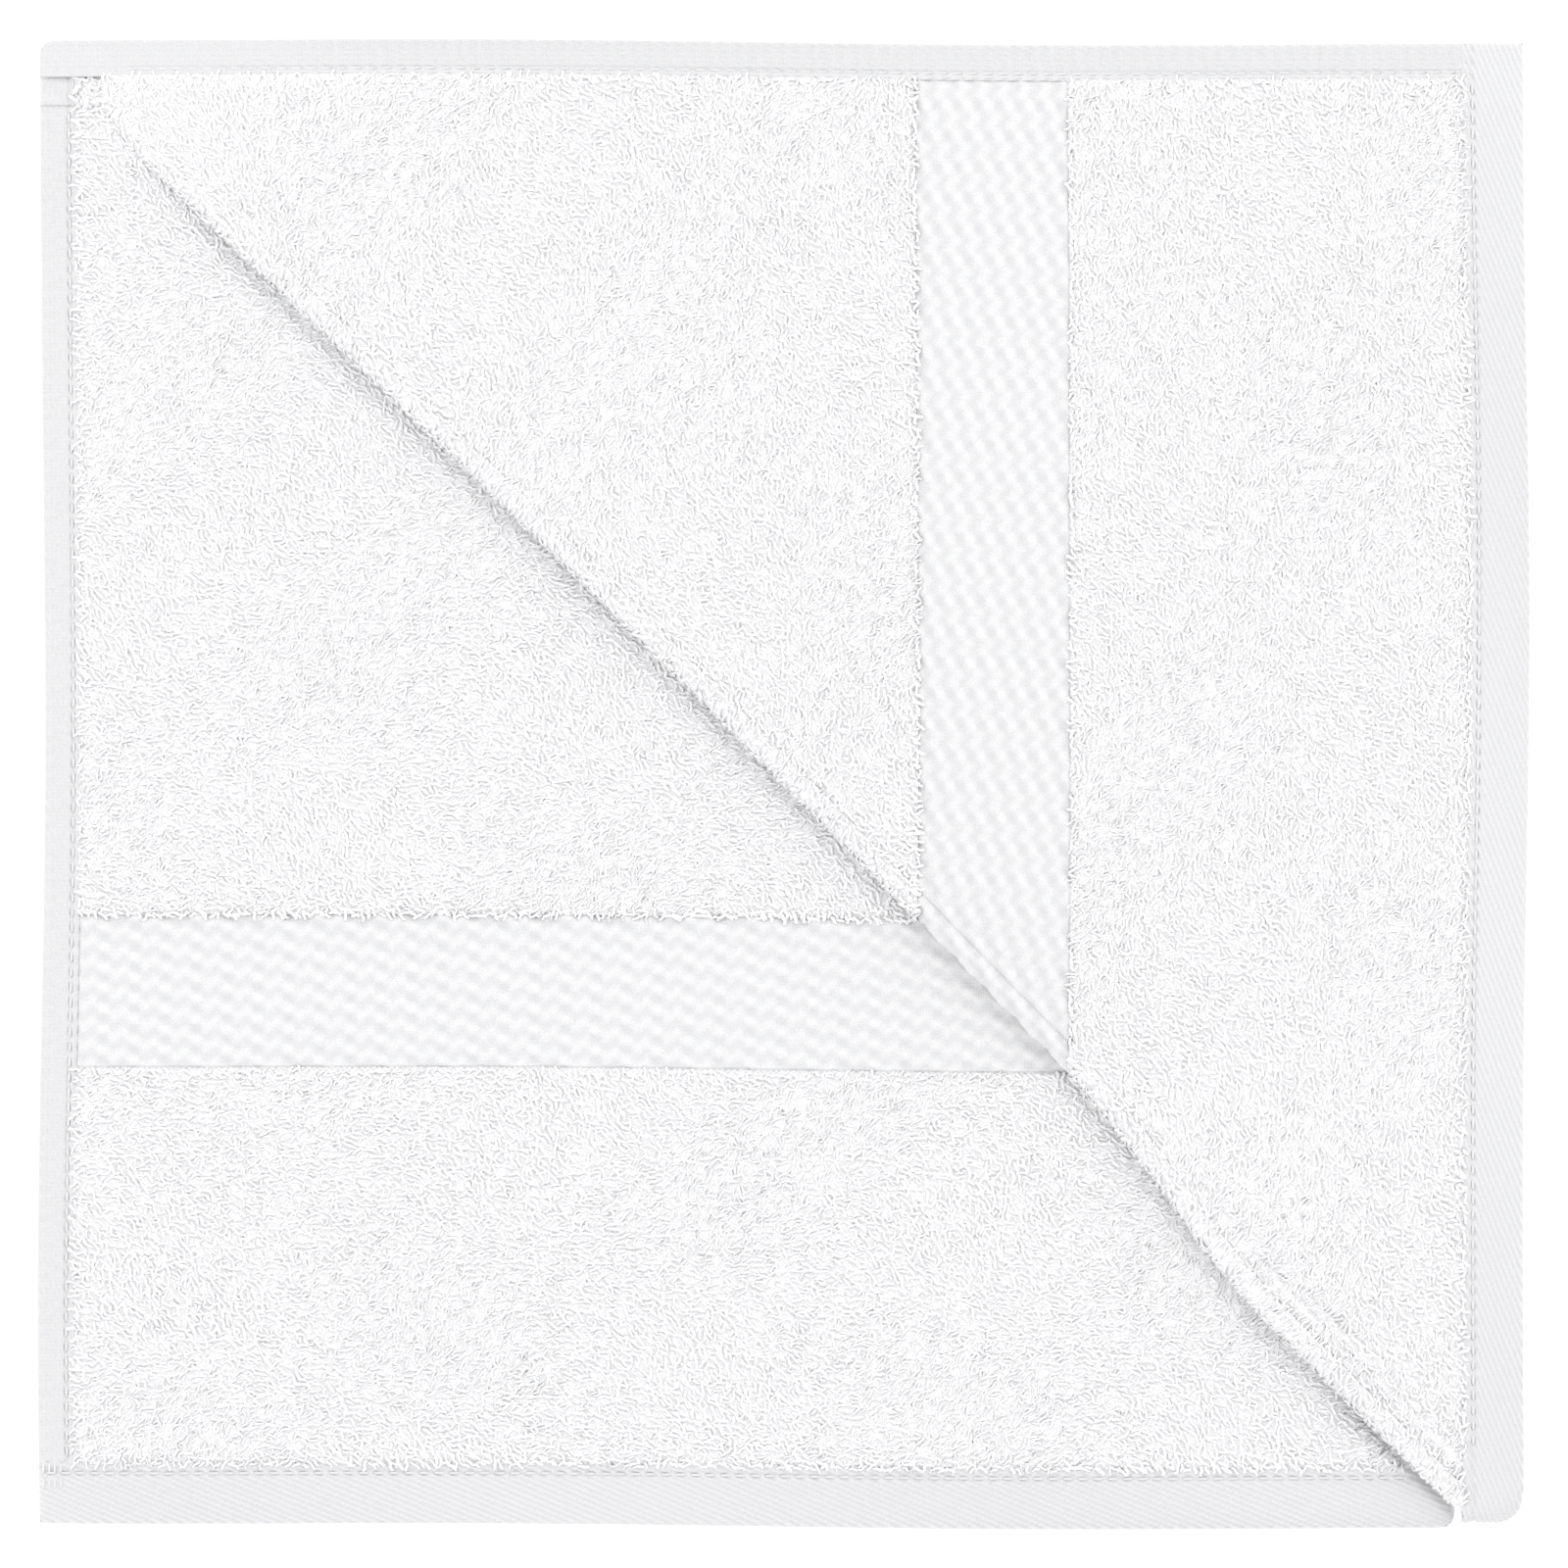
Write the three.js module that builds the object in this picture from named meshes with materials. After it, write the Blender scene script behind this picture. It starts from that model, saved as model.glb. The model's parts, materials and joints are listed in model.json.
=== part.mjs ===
// A bath towel folded to a flat square packet. Millimetres, +Z up, origin under the middle of the packet.
//
// The cloth is one piece: folded in half lengthwise, then in half and in half again across, which makes
// eight plies. The lengthwise fold runs along the +X side, the last cross fold along +Y, and both free ends
// lie at -Y. The near left corner of the top ply is turned back along the diagonal onto the far right one.
// Each ply is split into the zones that a weaver and a sewer would name: terry, border, end terry and hems.
//
// Plies are numbered from the floor up. Plies 1 to 4 are the lower half, which stays put. Plies 5 to 8 open
// about the +Y wraps, and the turned-back corner of ply 8 opens about the roll along the diagonal.

import * as THREE from "three";

// Driving dimensions
const FOLDED_WIDTH = 340.5; // half the towel's width, from the side hems to the lengthwise fold
const FOLDED_LENGTH = 356.5; // a quarter of its length, between the cross folds
const PLY_PITCH = 4; // from one ply to the next
const GAP = 0.3; // between neighbouring solids
const SIDE_HEM_WIDTH = 8.4;
const END_HEM_WIDTH = 14.4;
const END_TERRY_LENGTH = 95; // terry between an end hem and its border
const BORDER_WIDTH = 37;
const BORDER_THICKNESS = 2;
const HEM_THICKNESS = 2.2;
const THREAD_WIDTH = 0.8;
const THREAD_THICKNESS = 0.4;
const END_SEAM_INSET = 2.2; // from an end hem's inner edge to its stitching
const SIDE_SEAM_INSET = 1.6;
const CORNER_RADIUS = 6; // where the end hem turns up into the turned-back corner

// Counts
const HALF_PLIES = 4; // plies in each half of the packet
const QUARTER_PLIES = 2; // plies in each quarter of the towel's length
const TOP_PLY = 8;
const FLAP_PLY = 9; // the level that the turned-back corner lies at
const OPEN_PLY = 7; // the ply that the turned-back corner leaves bare
const FIRST_FREE_PLY = 5; // plies from here up have a free end at -Y
const ARC_STEPS = 10; // steps in a quarter turn of a fold
const ROLL_SIDES = 32;

// The packet's outline
const TERRY_THICKNESS = PLY_PITCH - GAP;
const LEFT = -Math.max(FOLDED_WIDTH, FOLDED_LENGTH) / 2;
const SIDE_FOLD = LEFT + FOLDED_WIDTH;
const NEAR = -FOLDED_LENGTH / 2;
const FAR = FOLDED_LENGTH / 2;
const FLAP_RIGHT = LEFT + FOLDED_LENGTH; // the near edge, mirrored about the diagonal

// Where flat cloth gives way to a fold
const SIDE_RADIUS = PLY_PITCH - GAP / 2;
const FLAT_RIGHT = SIDE_FOLD - SIDE_RADIUS;
const WRAP_START = FAR - (HALF_PLIES * PLY_PITCH - GAP / 2);
const CROSS_START = NEAR + QUARTER_PLIES * PLY_PITCH - GAP / 2;
const MIDDLE = HALF_PLIES * PLY_PITCH - GAP / 2; // height of the plane between the two halves

// The diagonal fold. A place's reach is its distance from the diagonal, towards +X and +Y. The roll takes
// up half a turn of cloth at mid ply, so its axis stands a quarter turn beyond the diagonal.
const ROLL_RADIUS = PLY_PITCH - GAP / 2;
const ROLL_REACH = (Math.PI / 4) * PLY_PITCH;
const CLEAR_REACH = ROLL_REACH + ROLL_RADIUS + GAP;
const OPEN_SHIFT = Math.SQRT2 * ROLL_REACH; // how far short of its old place the opened corner lands
const AXIS_HEIGHT = TOP_PLY * PLY_PITCH - GAP / 2;

// Zone edges on a ply with a free end
const END_HEM_TOP = NEAR + END_HEM_WIDTH;
const END_TERRY_TOP = END_HEM_TOP + END_TERRY_LENGTH;
const BORDER_TOP = END_TERRY_TOP + BORDER_WIDTH;
const SIDE_HEM_RIGHT = LEFT + SIDE_HEM_WIDTH;

// The side fold of plies 7 and 8 starts where ply 8 comes clear of the roll
const TOP_SIDE_FOLD_START = Math.max(NEAR, LEFT + FAR - FLAT_RIGHT + Math.SQRT2 * CLEAR_REACH);
const FLAP_NEAR = LEFT + FAR - SIDE_FOLD + OPEN_SHIFT + GAP;

const LOOKS = {
  terry: { color: 0xf6f5f4, roughness: 0.95 },
  border: { color: 0xf1f0f1, roughness: 0.85 },
  hem: { color: 0xeeedef, roughness: 0.85 },
  thread: { color: 0xf8f8f8, roughness: 0.6 },
};

function cloth(name, geometry, look) {
  const material = new THREE.MeshStandardMaterial({ ...LOOKS[look], metalness: 0 });
  const mesh = new THREE.Mesh(geometry, material);
  mesh.name = name;
  return mesh;
}

function shapeOf(points) {
  return new THREE.Shape(points.map(([x, y]) => new THREE.Vector2(x, y)));
}

function extrude(shape, depth) {
  return new THREE.ExtrudeGeometry(shape, { depth, bevelEnabled: false, curveSegments: ARC_STEPS });
}

/** Height of the middle of a ply. */
function plyMiddle(ply) {
  return (ply - 1) * PLY_PITCH + TERRY_THICKNESS / 2;
}

/** A place's distance beyond the diagonal that runs from the far left corner. */
function reach([x, y]) {
  return (x - LEFT + y - FAR) / Math.SQRT2;
}

/** The place that the diagonal fold carries a place of the top ply to. */
function mirrored([x, y]) {
  return [LEFT + FAR - y, LEFT + FAR - x];
}

/** Keeps the part of an outline where keep(point) is positive, cutting its sides where keep crosses zero. */
function clip(outline, keep) {
  return outline.flatMap((point, i) => {
    const next = outline[(i + 1) % outline.length];
    const here = keep(point);
    const there = keep(next);
    const kept = here > 0 ? [point] : [];
    if (here > 0 === there > 0) return kept;
    const share = here / (here - there);
    return [...kept, point.map((value, axis) => value + share * (next[axis] - value))];
  });
}

function rectangle(x0, x1, y0, y1) {
  return [[x0, y0], [x1, y0], [x1, y1], [x0, y1]];
}

/** The zones of a ply, as {zone: {outline, thickness, look, lift}}. */
function freeEndZones(right, far) {
  const terryLeft = SIDE_HEM_RIGHT + GAP;
  return {
    terry: {
      outline: rectangle(terryLeft, right, BORDER_TOP + GAP, far),
      thickness: TERRY_THICKNESS,
      look: "terry",
    },
    border: {
      outline: rectangle(terryLeft, right, END_TERRY_TOP + GAP, BORDER_TOP),
      thickness: BORDER_THICKNESS,
      look: "border",
    },
    end_terry: {
      outline: rectangle(terryLeft, right, END_HEM_TOP + GAP, END_TERRY_TOP),
      thickness: TERRY_THICKNESS,
      look: "terry",
    },
    end_hem: {
      outline: rectangle(LEFT, right, NEAR, END_HEM_TOP),
      thickness: HEM_THICKNESS,
      look: "hem",
    },
    side_hem: {
      outline: rectangle(LEFT, SIDE_HEM_RIGHT, END_HEM_TOP + GAP, far),
      thickness: HEM_THICKNESS,
      look: "hem",
    },
  };
}

function innerZones() {
  const near = CROSS_START + GAP;
  const far = WRAP_START - GAP;
  return {
    terry: {
      outline: rectangle(SIDE_HEM_RIGHT + GAP, FLAT_RIGHT - GAP, near, far),
      thickness: TERRY_THICKNESS,
      look: "terry",
    },
    side_hem: {
      outline: rectangle(LEFT, SIDE_HEM_RIGHT, near, far),
      thickness: HEM_THICKNESS,
      look: "hem",
    },
  };
}

/** The two lines of stitching that show on an open ply, lying just above its hems. */
function threadZones(right, far) {
  const endSeam = END_HEM_TOP - END_SEAM_INSET;
  const sideSeam = SIDE_HEM_RIGHT - SIDE_SEAM_INSET;
  const half = THREAD_WIDTH / 2;
  const shared = {
    thickness: THREAD_THICKNESS,
    look: "thread",
    lift: HEM_THICKNESS / 2 + GAP + THREAD_THICKNESS / 2,
  };
  return {
    end_hem_thread: { outline: rectangle(LEFT, right, endSeam - half, endSeam + half), ...shared },
    side_hem_thread: {
      outline: rectangle(sideSeam - half, sideSeam + half, END_HEM_TOP + GAP, far),
      ...shared,
    },
  };
}

/** One mesh for each zone that has any cloth left, laid at the height of a ply. */
function layZones(prefix, ply, zones) {
  return Object.entries(zones)
    .filter(([, { outline }]) => outline.length > 2)
    .map(([zone, { outline, thickness, look, lift = 0 }]) => {
      const mesh = cloth(`${prefix}_${zone}`, extrude(shapeOf(outline), thickness), look);
      mesh.position.z = plyMiddle(ply) + lift - thickness / 2;
      return mesh;
    });
}

/** The zones with their outlines changed by a function of the outline. */
function reshape(zones, change) {
  return Object.fromEntries(
    Object.entries(zones).map(([zone, values]) => [
      zone,
      { ...values, outline: change(values.outline) },
    ]),
  );
}

/** Ply 8: only what lies beyond the diagonal, clear of the roll. */
function topPly() {
  const zones = freeEndZones(FLAT_RIGHT - GAP, WRAP_START - GAP);
  const beyond = reshape(zones, (outline) => clip(outline, (point) => reach(point) - CLEAR_REACH));
  return layZones(`ply_${TOP_PLY}`, TOP_PLY, beyond);
}

/** The turned-back corner: what lay before the diagonal, mirrored and laid on ply 8, reverse side up. */
function flap() {
  const right = SIDE_FOLD - OPEN_SHIFT - GAP;
  const far = WRAP_START - OPEN_SHIFT - GAP;
  const zones = { ...freeEndZones(right, far), ...threadZones(right, far) };
  const turned = reshape(zones, (outline) => {
    const before = clip(outline, (point) => -reach(point) - CLEAR_REACH);
    return before.map(mirrored).reverse();
  });
  return layZones("flap", FLAP_PLY, turned);
}

/** A point on a circle about a centre, at an angle counted from +Y towards +Z. */
function onArc(radius, angle) {
  return [radius * Math.cos(angle), radius * Math.sin(angle)];
}

function arc(radius, from, to, steps) {
  const angles = Array.from({ length: steps + 1 }, (_, i) => from + ((to - from) * i) / steps);
  return angles.map((angle) => onArc(radius, angle));
}

/** The section of a ply that wraps a fold through the stated number of quarter turns. */
function ringSection(inner, outer, from, to, steps) {
  const inside = inner > GAP / 2 ? arc(inner, to, from, steps) : [onArc(inner, to)];
  return shapeOf([...arc(outer, from, to, steps), ...inside]);
}

/** Extrudes a Y-Z section along X over the packet's full width, centred on a fold's axis. */
function alongWidth(name, section, y, z) {
  const mesh = cloth(name, extrude(section, FOLDED_WIDTH), "terry");
  mesh.rotation.set(Math.PI / 2, 0, Math.PI / 2, "ZYX");
  mesh.position.set(LEFT, y, z);
  return mesh;
}

/** The far side's four nested wraps, each a quarter ring on one half of the packet. */
function wraps(half) {
  const side = half === "upper" ? 1 : -1;
  return Array.from({ length: HALF_PLIES }, (_, ring) => {
    const inner = ring * PLY_PITCH + GAP / 2;
    const outer = (ring + 1) * PLY_PITCH - GAP / 2;
    const upper = ringSection(inner, outer, 0, Math.PI / 2, ARC_STEPS);
    const kept = clip(
      upper.getPoints().map(({ x, y }) => [x, y]),
      ([, height]) => height - GAP / 2,
    );
    const placed = side > 0 ? kept : kept.map(([y, z]) => [y, -z]).reverse();
    const name = `wrap_${HALF_PLIES - ring}_${FIRST_FREE_PLY + ring}_${half}`;
    return alongWidth(name, shapeOf(placed), WRAP_START, MIDDLE);
  });
}

/** The near side's fold, half way along the towel: ply 2 into 3 inside ply 1 into 4. */
function crossFolds() {
  return Array.from({ length: QUARTER_PLIES }, (_, ring) => {
    const inner = ring * PLY_PITCH + GAP / 2;
    const outer = (ring + 1) * PLY_PITCH - GAP / 2;
    const inside = arc(inner, 1.5 * Math.PI, Math.PI / 2, 2 * ARC_STEPS);
    const outside = arc(outer, Math.PI / 2, 1.5 * Math.PI, 2 * ARC_STEPS);
    const name = `cross_fold_${QUARTER_PLIES - ring}_${QUARTER_PLIES + 1 + ring}`;
    const height = QUARTER_PLIES * PLY_PITCH - GAP / 2;
    return alongWidth(name, shapeOf([...outside, ...inside]), CROSS_START, height);
  });
}

/** The lengthwise fold joining a ply to the one above it, as a half-round strip. */
function sideFold(lowerPly, near) {
  const far = WRAP_START - GAP;
  const section = shapeOf(arc(SIDE_RADIUS, -Math.PI / 2, Math.PI / 2, 2 * ARC_STEPS));
  const mesh = cloth(`side_fold_${lowerPly}_${lowerPly + 1}`, extrude(section, far - near), "terry");
  mesh.rotation.x = Math.PI / 2;
  mesh.position.set(FLAT_RIGHT, far, lowerPly * PLY_PITCH - GAP / 2);
  return mesh;
}

/** Where the side fold of plies 7 and 8 has opened, ply 7's own edge strip. */
function openEdge() {
  const strip = rectangle(FLAT_RIGHT, SIDE_FOLD, NEAR, TOP_SIDE_FOLD_START - GAP);
  const zone = { outline: strip, thickness: HEM_THICKNESS, look: "hem" };
  return layZones(`ply_${OPEN_PLY}`, OPEN_PLY, { open_edge: zone });
}

/** The soft roll along the diagonal that ply 8 turns back over. */
function foldRoll() {
  const widest = ROLL_REACH + ROLL_RADIUS;
  const start = widest + Math.SQRT2 * (FAR - WRAP_START + GAP);
  const atSide = Math.SQRT2 * FOLDED_WIDTH - widest;
  const atNear = Math.SQRT2 * FOLDED_LENGTH + ROLL_REACH - ROLL_RADIUS;
  const end = Math.min(atSide, atNear);
  const roll = new THREE.CylinderGeometry(ROLL_RADIUS, ROLL_RADIUS, end - start, ROLL_SIDES);
  const mesh = cloth("flap_fold_roll", roll, "terry");
  const along = (start + end) / 2;
  mesh.rotation.z = Math.PI / 4;
  mesh.position.set(
    LEFT + (along + ROLL_REACH) / Math.SQRT2,
    FAR + (ROLL_REACH - along) / Math.SQRT2,
    AXIS_HEIGHT,
  );
  return mesh;
}

/** Past the side fold, the end hem turns up from ply 7 to the turned-back corner round a soft corner. */
function hemTurn() {
  const left = SIDE_FOLD + GAP;
  const far = FLAP_NEAR - GAP;
  const shape = new THREE.Shape();
  shape.moveTo(left, NEAR);
  shape.lineTo(FLAP_RIGHT - CORNER_RADIUS, NEAR);
  shape.absarc(FLAP_RIGHT - CORNER_RADIUS, NEAR + CORNER_RADIUS, CORNER_RADIUS, -Math.PI / 2, 0);
  shape.lineTo(FLAP_RIGHT, far);
  shape.lineTo(left, far);
  const mesh = cloth("hem_turn", extrude(shape, PLY_PITCH + TERRY_THICKNESS), "hem");
  mesh.position.z = (OPEN_PLY - 1) * PLY_PITCH;
  return mesh;
}

function lowerHalf() {
  const group = new THREE.Group();
  for (let ply = 1; ply <= HALF_PLIES; ply += 1) {
    group.add(...layZones(`ply_${ply}`, ply, innerZones()));
  }
  for (let ply = 1; ply < HALF_PLIES; ply += QUARTER_PLIES) {
    group.add(sideFold(ply, CROSS_START + GAP));
  }
  group.add(...crossFolds(), ...wraps("lower"));
  return group;
}

function upperHalf() {
  const group = new THREE.Group();
  for (let ply = FIRST_FREE_PLY; ply <= OPEN_PLY; ply += 1) {
    group.add(...layZones(`ply_${ply}`, ply, freeEndZones(FLAT_RIGHT - GAP, WRAP_START - GAP)));
  }
  group.add(...topPly());
  group.add(...layZones(`ply_${OPEN_PLY}`, OPEN_PLY, threadZones(FLAT_RIGHT - GAP, WRAP_START - GAP)));
  group.add(sideFold(FIRST_FREE_PLY, NEAR), sideFold(OPEN_PLY, TOP_SIDE_FOLD_START));
  if (TOP_SIDE_FOLD_START > NEAR) group.add(...openEdge());
  if (FLAP_RIGHT > SIDE_FOLD + CORNER_RADIUS) group.add(hemTurn());
  group.add(foldRoll(), ...wraps("upper"));
  return group;
}

function turnedBackCorner() {
  const group = new THREE.Group();
  group.add(...flap());
  return group;
}

const towel = new THREE.Group();
towel.add(lowerHalf(), upperHalf(), turnedBackCorner());

export default towel;
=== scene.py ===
"""A white terry bath towel, folded to a square packet with one corner of its top ply turned back.

The towel is one cloth. Every piece here is drawn in cloth coordinates, as x and y in the plane of its ply
and a height h off the ply's middle. A lay then carries it to its place: flat, turned back over the diagonal
roll, or wrapped round a fold. So the ground, loops, border, hems and stitches all bend together.
"""

import json
import logging
import math
from dataclasses import dataclass, field
from enum import Enum
from typing import Callable

import bpy
import numpy as np
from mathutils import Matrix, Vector


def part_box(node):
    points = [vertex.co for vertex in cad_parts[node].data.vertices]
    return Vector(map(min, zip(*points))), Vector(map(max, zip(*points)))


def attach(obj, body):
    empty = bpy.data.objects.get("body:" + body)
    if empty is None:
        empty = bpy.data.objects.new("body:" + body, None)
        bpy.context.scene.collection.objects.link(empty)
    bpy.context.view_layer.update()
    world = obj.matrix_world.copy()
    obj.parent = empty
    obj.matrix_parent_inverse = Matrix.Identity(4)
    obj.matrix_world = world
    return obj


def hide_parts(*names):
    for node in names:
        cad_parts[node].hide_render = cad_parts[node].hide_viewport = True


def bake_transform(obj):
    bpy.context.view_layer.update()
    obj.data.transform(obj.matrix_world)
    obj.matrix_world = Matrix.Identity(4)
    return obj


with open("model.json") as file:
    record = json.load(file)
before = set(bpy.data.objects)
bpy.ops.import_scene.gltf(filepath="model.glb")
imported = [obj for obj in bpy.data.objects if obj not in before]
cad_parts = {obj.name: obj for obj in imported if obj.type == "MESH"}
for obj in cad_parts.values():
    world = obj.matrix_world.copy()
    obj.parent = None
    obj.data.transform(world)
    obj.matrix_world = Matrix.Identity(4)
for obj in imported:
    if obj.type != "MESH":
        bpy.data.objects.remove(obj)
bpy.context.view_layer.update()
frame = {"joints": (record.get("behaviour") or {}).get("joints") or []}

LOG = logging.getLogger("towel")

MM = 0.001
TAU = 2.0 * math.pi
HALF_GAP = 2.0 * MM
Array = np.ndarray
Shape = Callable[[Array, Array], Array]


class Body(Enum):
    """The three bodies that the joints move."""

    LOWER = "lower_half"
    UPPER = "upper_half"
    FLAP = "flap"


class Face(Enum):
    """Which side of a ply a piece stands on: the one that faces up while the ply is flat, or the other."""

    UPPER = 1.0
    UNDER = -1.0


def smooth(value: Array) -> Array:
    """Eases 0 to 1: three times the square less twice the cube of the value, held to that range."""
    held = np.clip(value, 0.0, 1.0)
    return held * held * (3.0 - 2.0 * held)


# ------------------------------------------------------------------------------
# Sizes


@dataclass(frozen=True)
class Cut:
    """The folded towel's own sizes in metres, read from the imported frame."""

    left: float
    side_fold: float
    near: float
    far: float
    flap_right: float
    pitch: float
    side_hem: float
    end_hem: float
    border_near: float
    border_far: float
    wrap_start: float
    cross_start: float
    middle: float
    axis_reach: float
    axis_height: float

    @classmethod
    def from_frame(cls) -> "Cut":
        """Reads the nodes' boxes and the diagonal joint.

        Returns:
            The sizes that every class below is built from.
        """
        low = (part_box("ply_7_side_hem")[0][0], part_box("ply_7_end_hem")[0][1])
        high = (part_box("flap_end_hem")[1][0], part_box("flap_side_hem")[1][1])
        joint = next(j for j in frame["joints"] if j["name"] == "flap_fold")
        place = np.array(joint["pos_m"])
        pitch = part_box("ply_2_terry")[0][2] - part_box("ply_1_terry")[0][2]
        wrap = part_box("wrap_1_8_upper")
        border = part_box("ply_7_border")
        return cls(
            left=low[0],
            side_fold=wrap[1][0],
            near=low[1],
            far=high[1],
            flap_right=high[0],
            pitch=pitch,
            side_hem=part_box("ply_7_side_hem")[1][0],
            end_hem=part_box("ply_7_end_hem")[1][1],
            border_near=border[0][1],
            border_far=border[1][1],
            wrap_start=wrap[0][1],
            cross_start=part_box("cross_fold_1_4")[1][1],
            middle=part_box("wrap_1_8_lower")[1][2],
            axis_reach=(place[0] - low[0] + place[1] - high[1]) / math.sqrt(2.0),
            axis_height=place[2],
        )

    def level(self, ply: int) -> float:
        """Height of the middle of a ply, counted from 1 at the floor."""
        return (ply - 0.5) * self.pitch - 0.5 * MM * 0.3

    def reach(self, x: Array, y: Array) -> Array:
        """Distance beyond the diagonal through the far left corner, towards the far right."""
        return (x - self.left + y - self.far) / math.sqrt(2.0)

    def along(self, x: Array, y: Array) -> Array:
        """Distance down the diagonal from the far left corner."""
        return (x - self.left - y + self.far) / math.sqrt(2.0)


CUT = Cut.from_frame()


@dataclass(frozen=True)
class Settling:
    """How a folded towel departs from a true square block: slow waves and an edge that is pressed thin."""

    side: float = 0.9 * MM
    rise: float = 0.55 * MM
    edge_press: float = 0.16
    edge_reach: float = 14 * MM

    def apply(self, points: Array) -> Array:
        """Moves points by three crossing waves, and lowers the packet towards its hemmed left side.

        Args:
            points: (n, 3) places in metres.

        Returns:
            The moved places. Nothing goes below the floor, which presses the lowest loops flat.
        """
        x, y, z = points.T
        height = z / CUT.axis_height
        wave = np.sin(x * 19.0 + 0.6) * np.cos(y * 13.0 - 0.4)
        cross = np.sin((x + y) * 31.0 + 1.1)
        slow = np.cos(x * 9.0 - y * 12.0 + 0.3)
        moved_x = x + self.side * (0.8 * np.sin(y * 17.0 + 0.9) + 0.3 * cross)
        moved_y = y - self.side * (0.9 * np.sin(x * 8.5 + 0.3) + 0.35 * np.sin(x * 27.0))
        lift = self.rise * height * (0.6 * wave + 0.5 * cross + 0.4 * slow)
        press = 1.0 - self.edge_press * np.exp(-np.maximum(x - CUT.left, 0.0) / self.edge_reach)
        return np.stack([moved_x, moved_y, np.maximum((z + lift) * press, 0.04 * MM)], axis=1)


SETTLING = Settling()


@dataclass(frozen=True)
class SunkCorner:
    """Where the upper half dips under the turned-back corner, and where ply 7 rises at the far left."""

    reach: float = -10.4 * MM
    fall: float = 2.4 * MM
    share: float = 0.17
    start: float = 128 * MM
    lift: float = 3.7 * MM
    lift_start: float = 118 * MM
    lift_reach: float = 40 * MM

    def apply(self, points: Array, raised: bool) -> Array:
        """Lowers points beyond a line parallel to the diagonal, and raises ply 7 to meet the outer wrap.

        Args:
            points: (n, 3) places in metres.
            raised: True for a ply that rises at the far left.

        Returns:
            The moved places.
        """
        x, y, z = points.T
        beyond = smooth((CUT.reach(x, y) - self.reach) / self.fall) * smooth((x - self.start) / (20 * MM))
        beyond = beyond * smooth((-y - self.start) / (20 * MM))
        corner = smooth((y - self.lift_start) / self.lift_reach)
        corner = corner * smooth((-x - self.lift_start) / self.lift_reach)
        lift = self.lift * corner * smooth((z - CUT.level(6) - 1.5 * MM) / (2.0 * MM)) * float(raised)
        return np.stack([x, y, z + lift - self.share * beyond * np.maximum(z - CUT.middle, 0.0)], axis=1)


SUNK = SunkCorner()


# ------------------------------------------------------------------------------
# Lays: from cloth coordinates to space


class Lay:
    """Carries cloth coordinates to their places."""

    def bare(self, x: Array, y: Array, h: Array) -> Array:
        """The places before settling."""
        raise NotImplementedError

    def place(self, x: Array, y: Array, h: Array) -> Array:
        """Places in metres for cloth coordinates.

        Args:
            x: Distances across the ply.
            y: Distances along the ply.
            h: Heights off the ply's middle, towards its upper face.

        Returns:
            An (n, 3) array.
        """
        flat = [np.ravel(a) for a in np.broadcast_arrays(x, y, h)]
        return SETTLING.apply(self.bare(*flat))


@dataclass(frozen=True)
class FlatLay(Lay):
    """A ply that lies flat at one level."""

    ply: int

    def bare(self, x: Array, y: Array, h: Array) -> Array:
        """x and y as they are, with the height added to the ply's level, less the sunk corner."""
        return SUNK.apply(np.stack([x, y, CUT.level(self.ply) + h], axis=1), raised=True)


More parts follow.
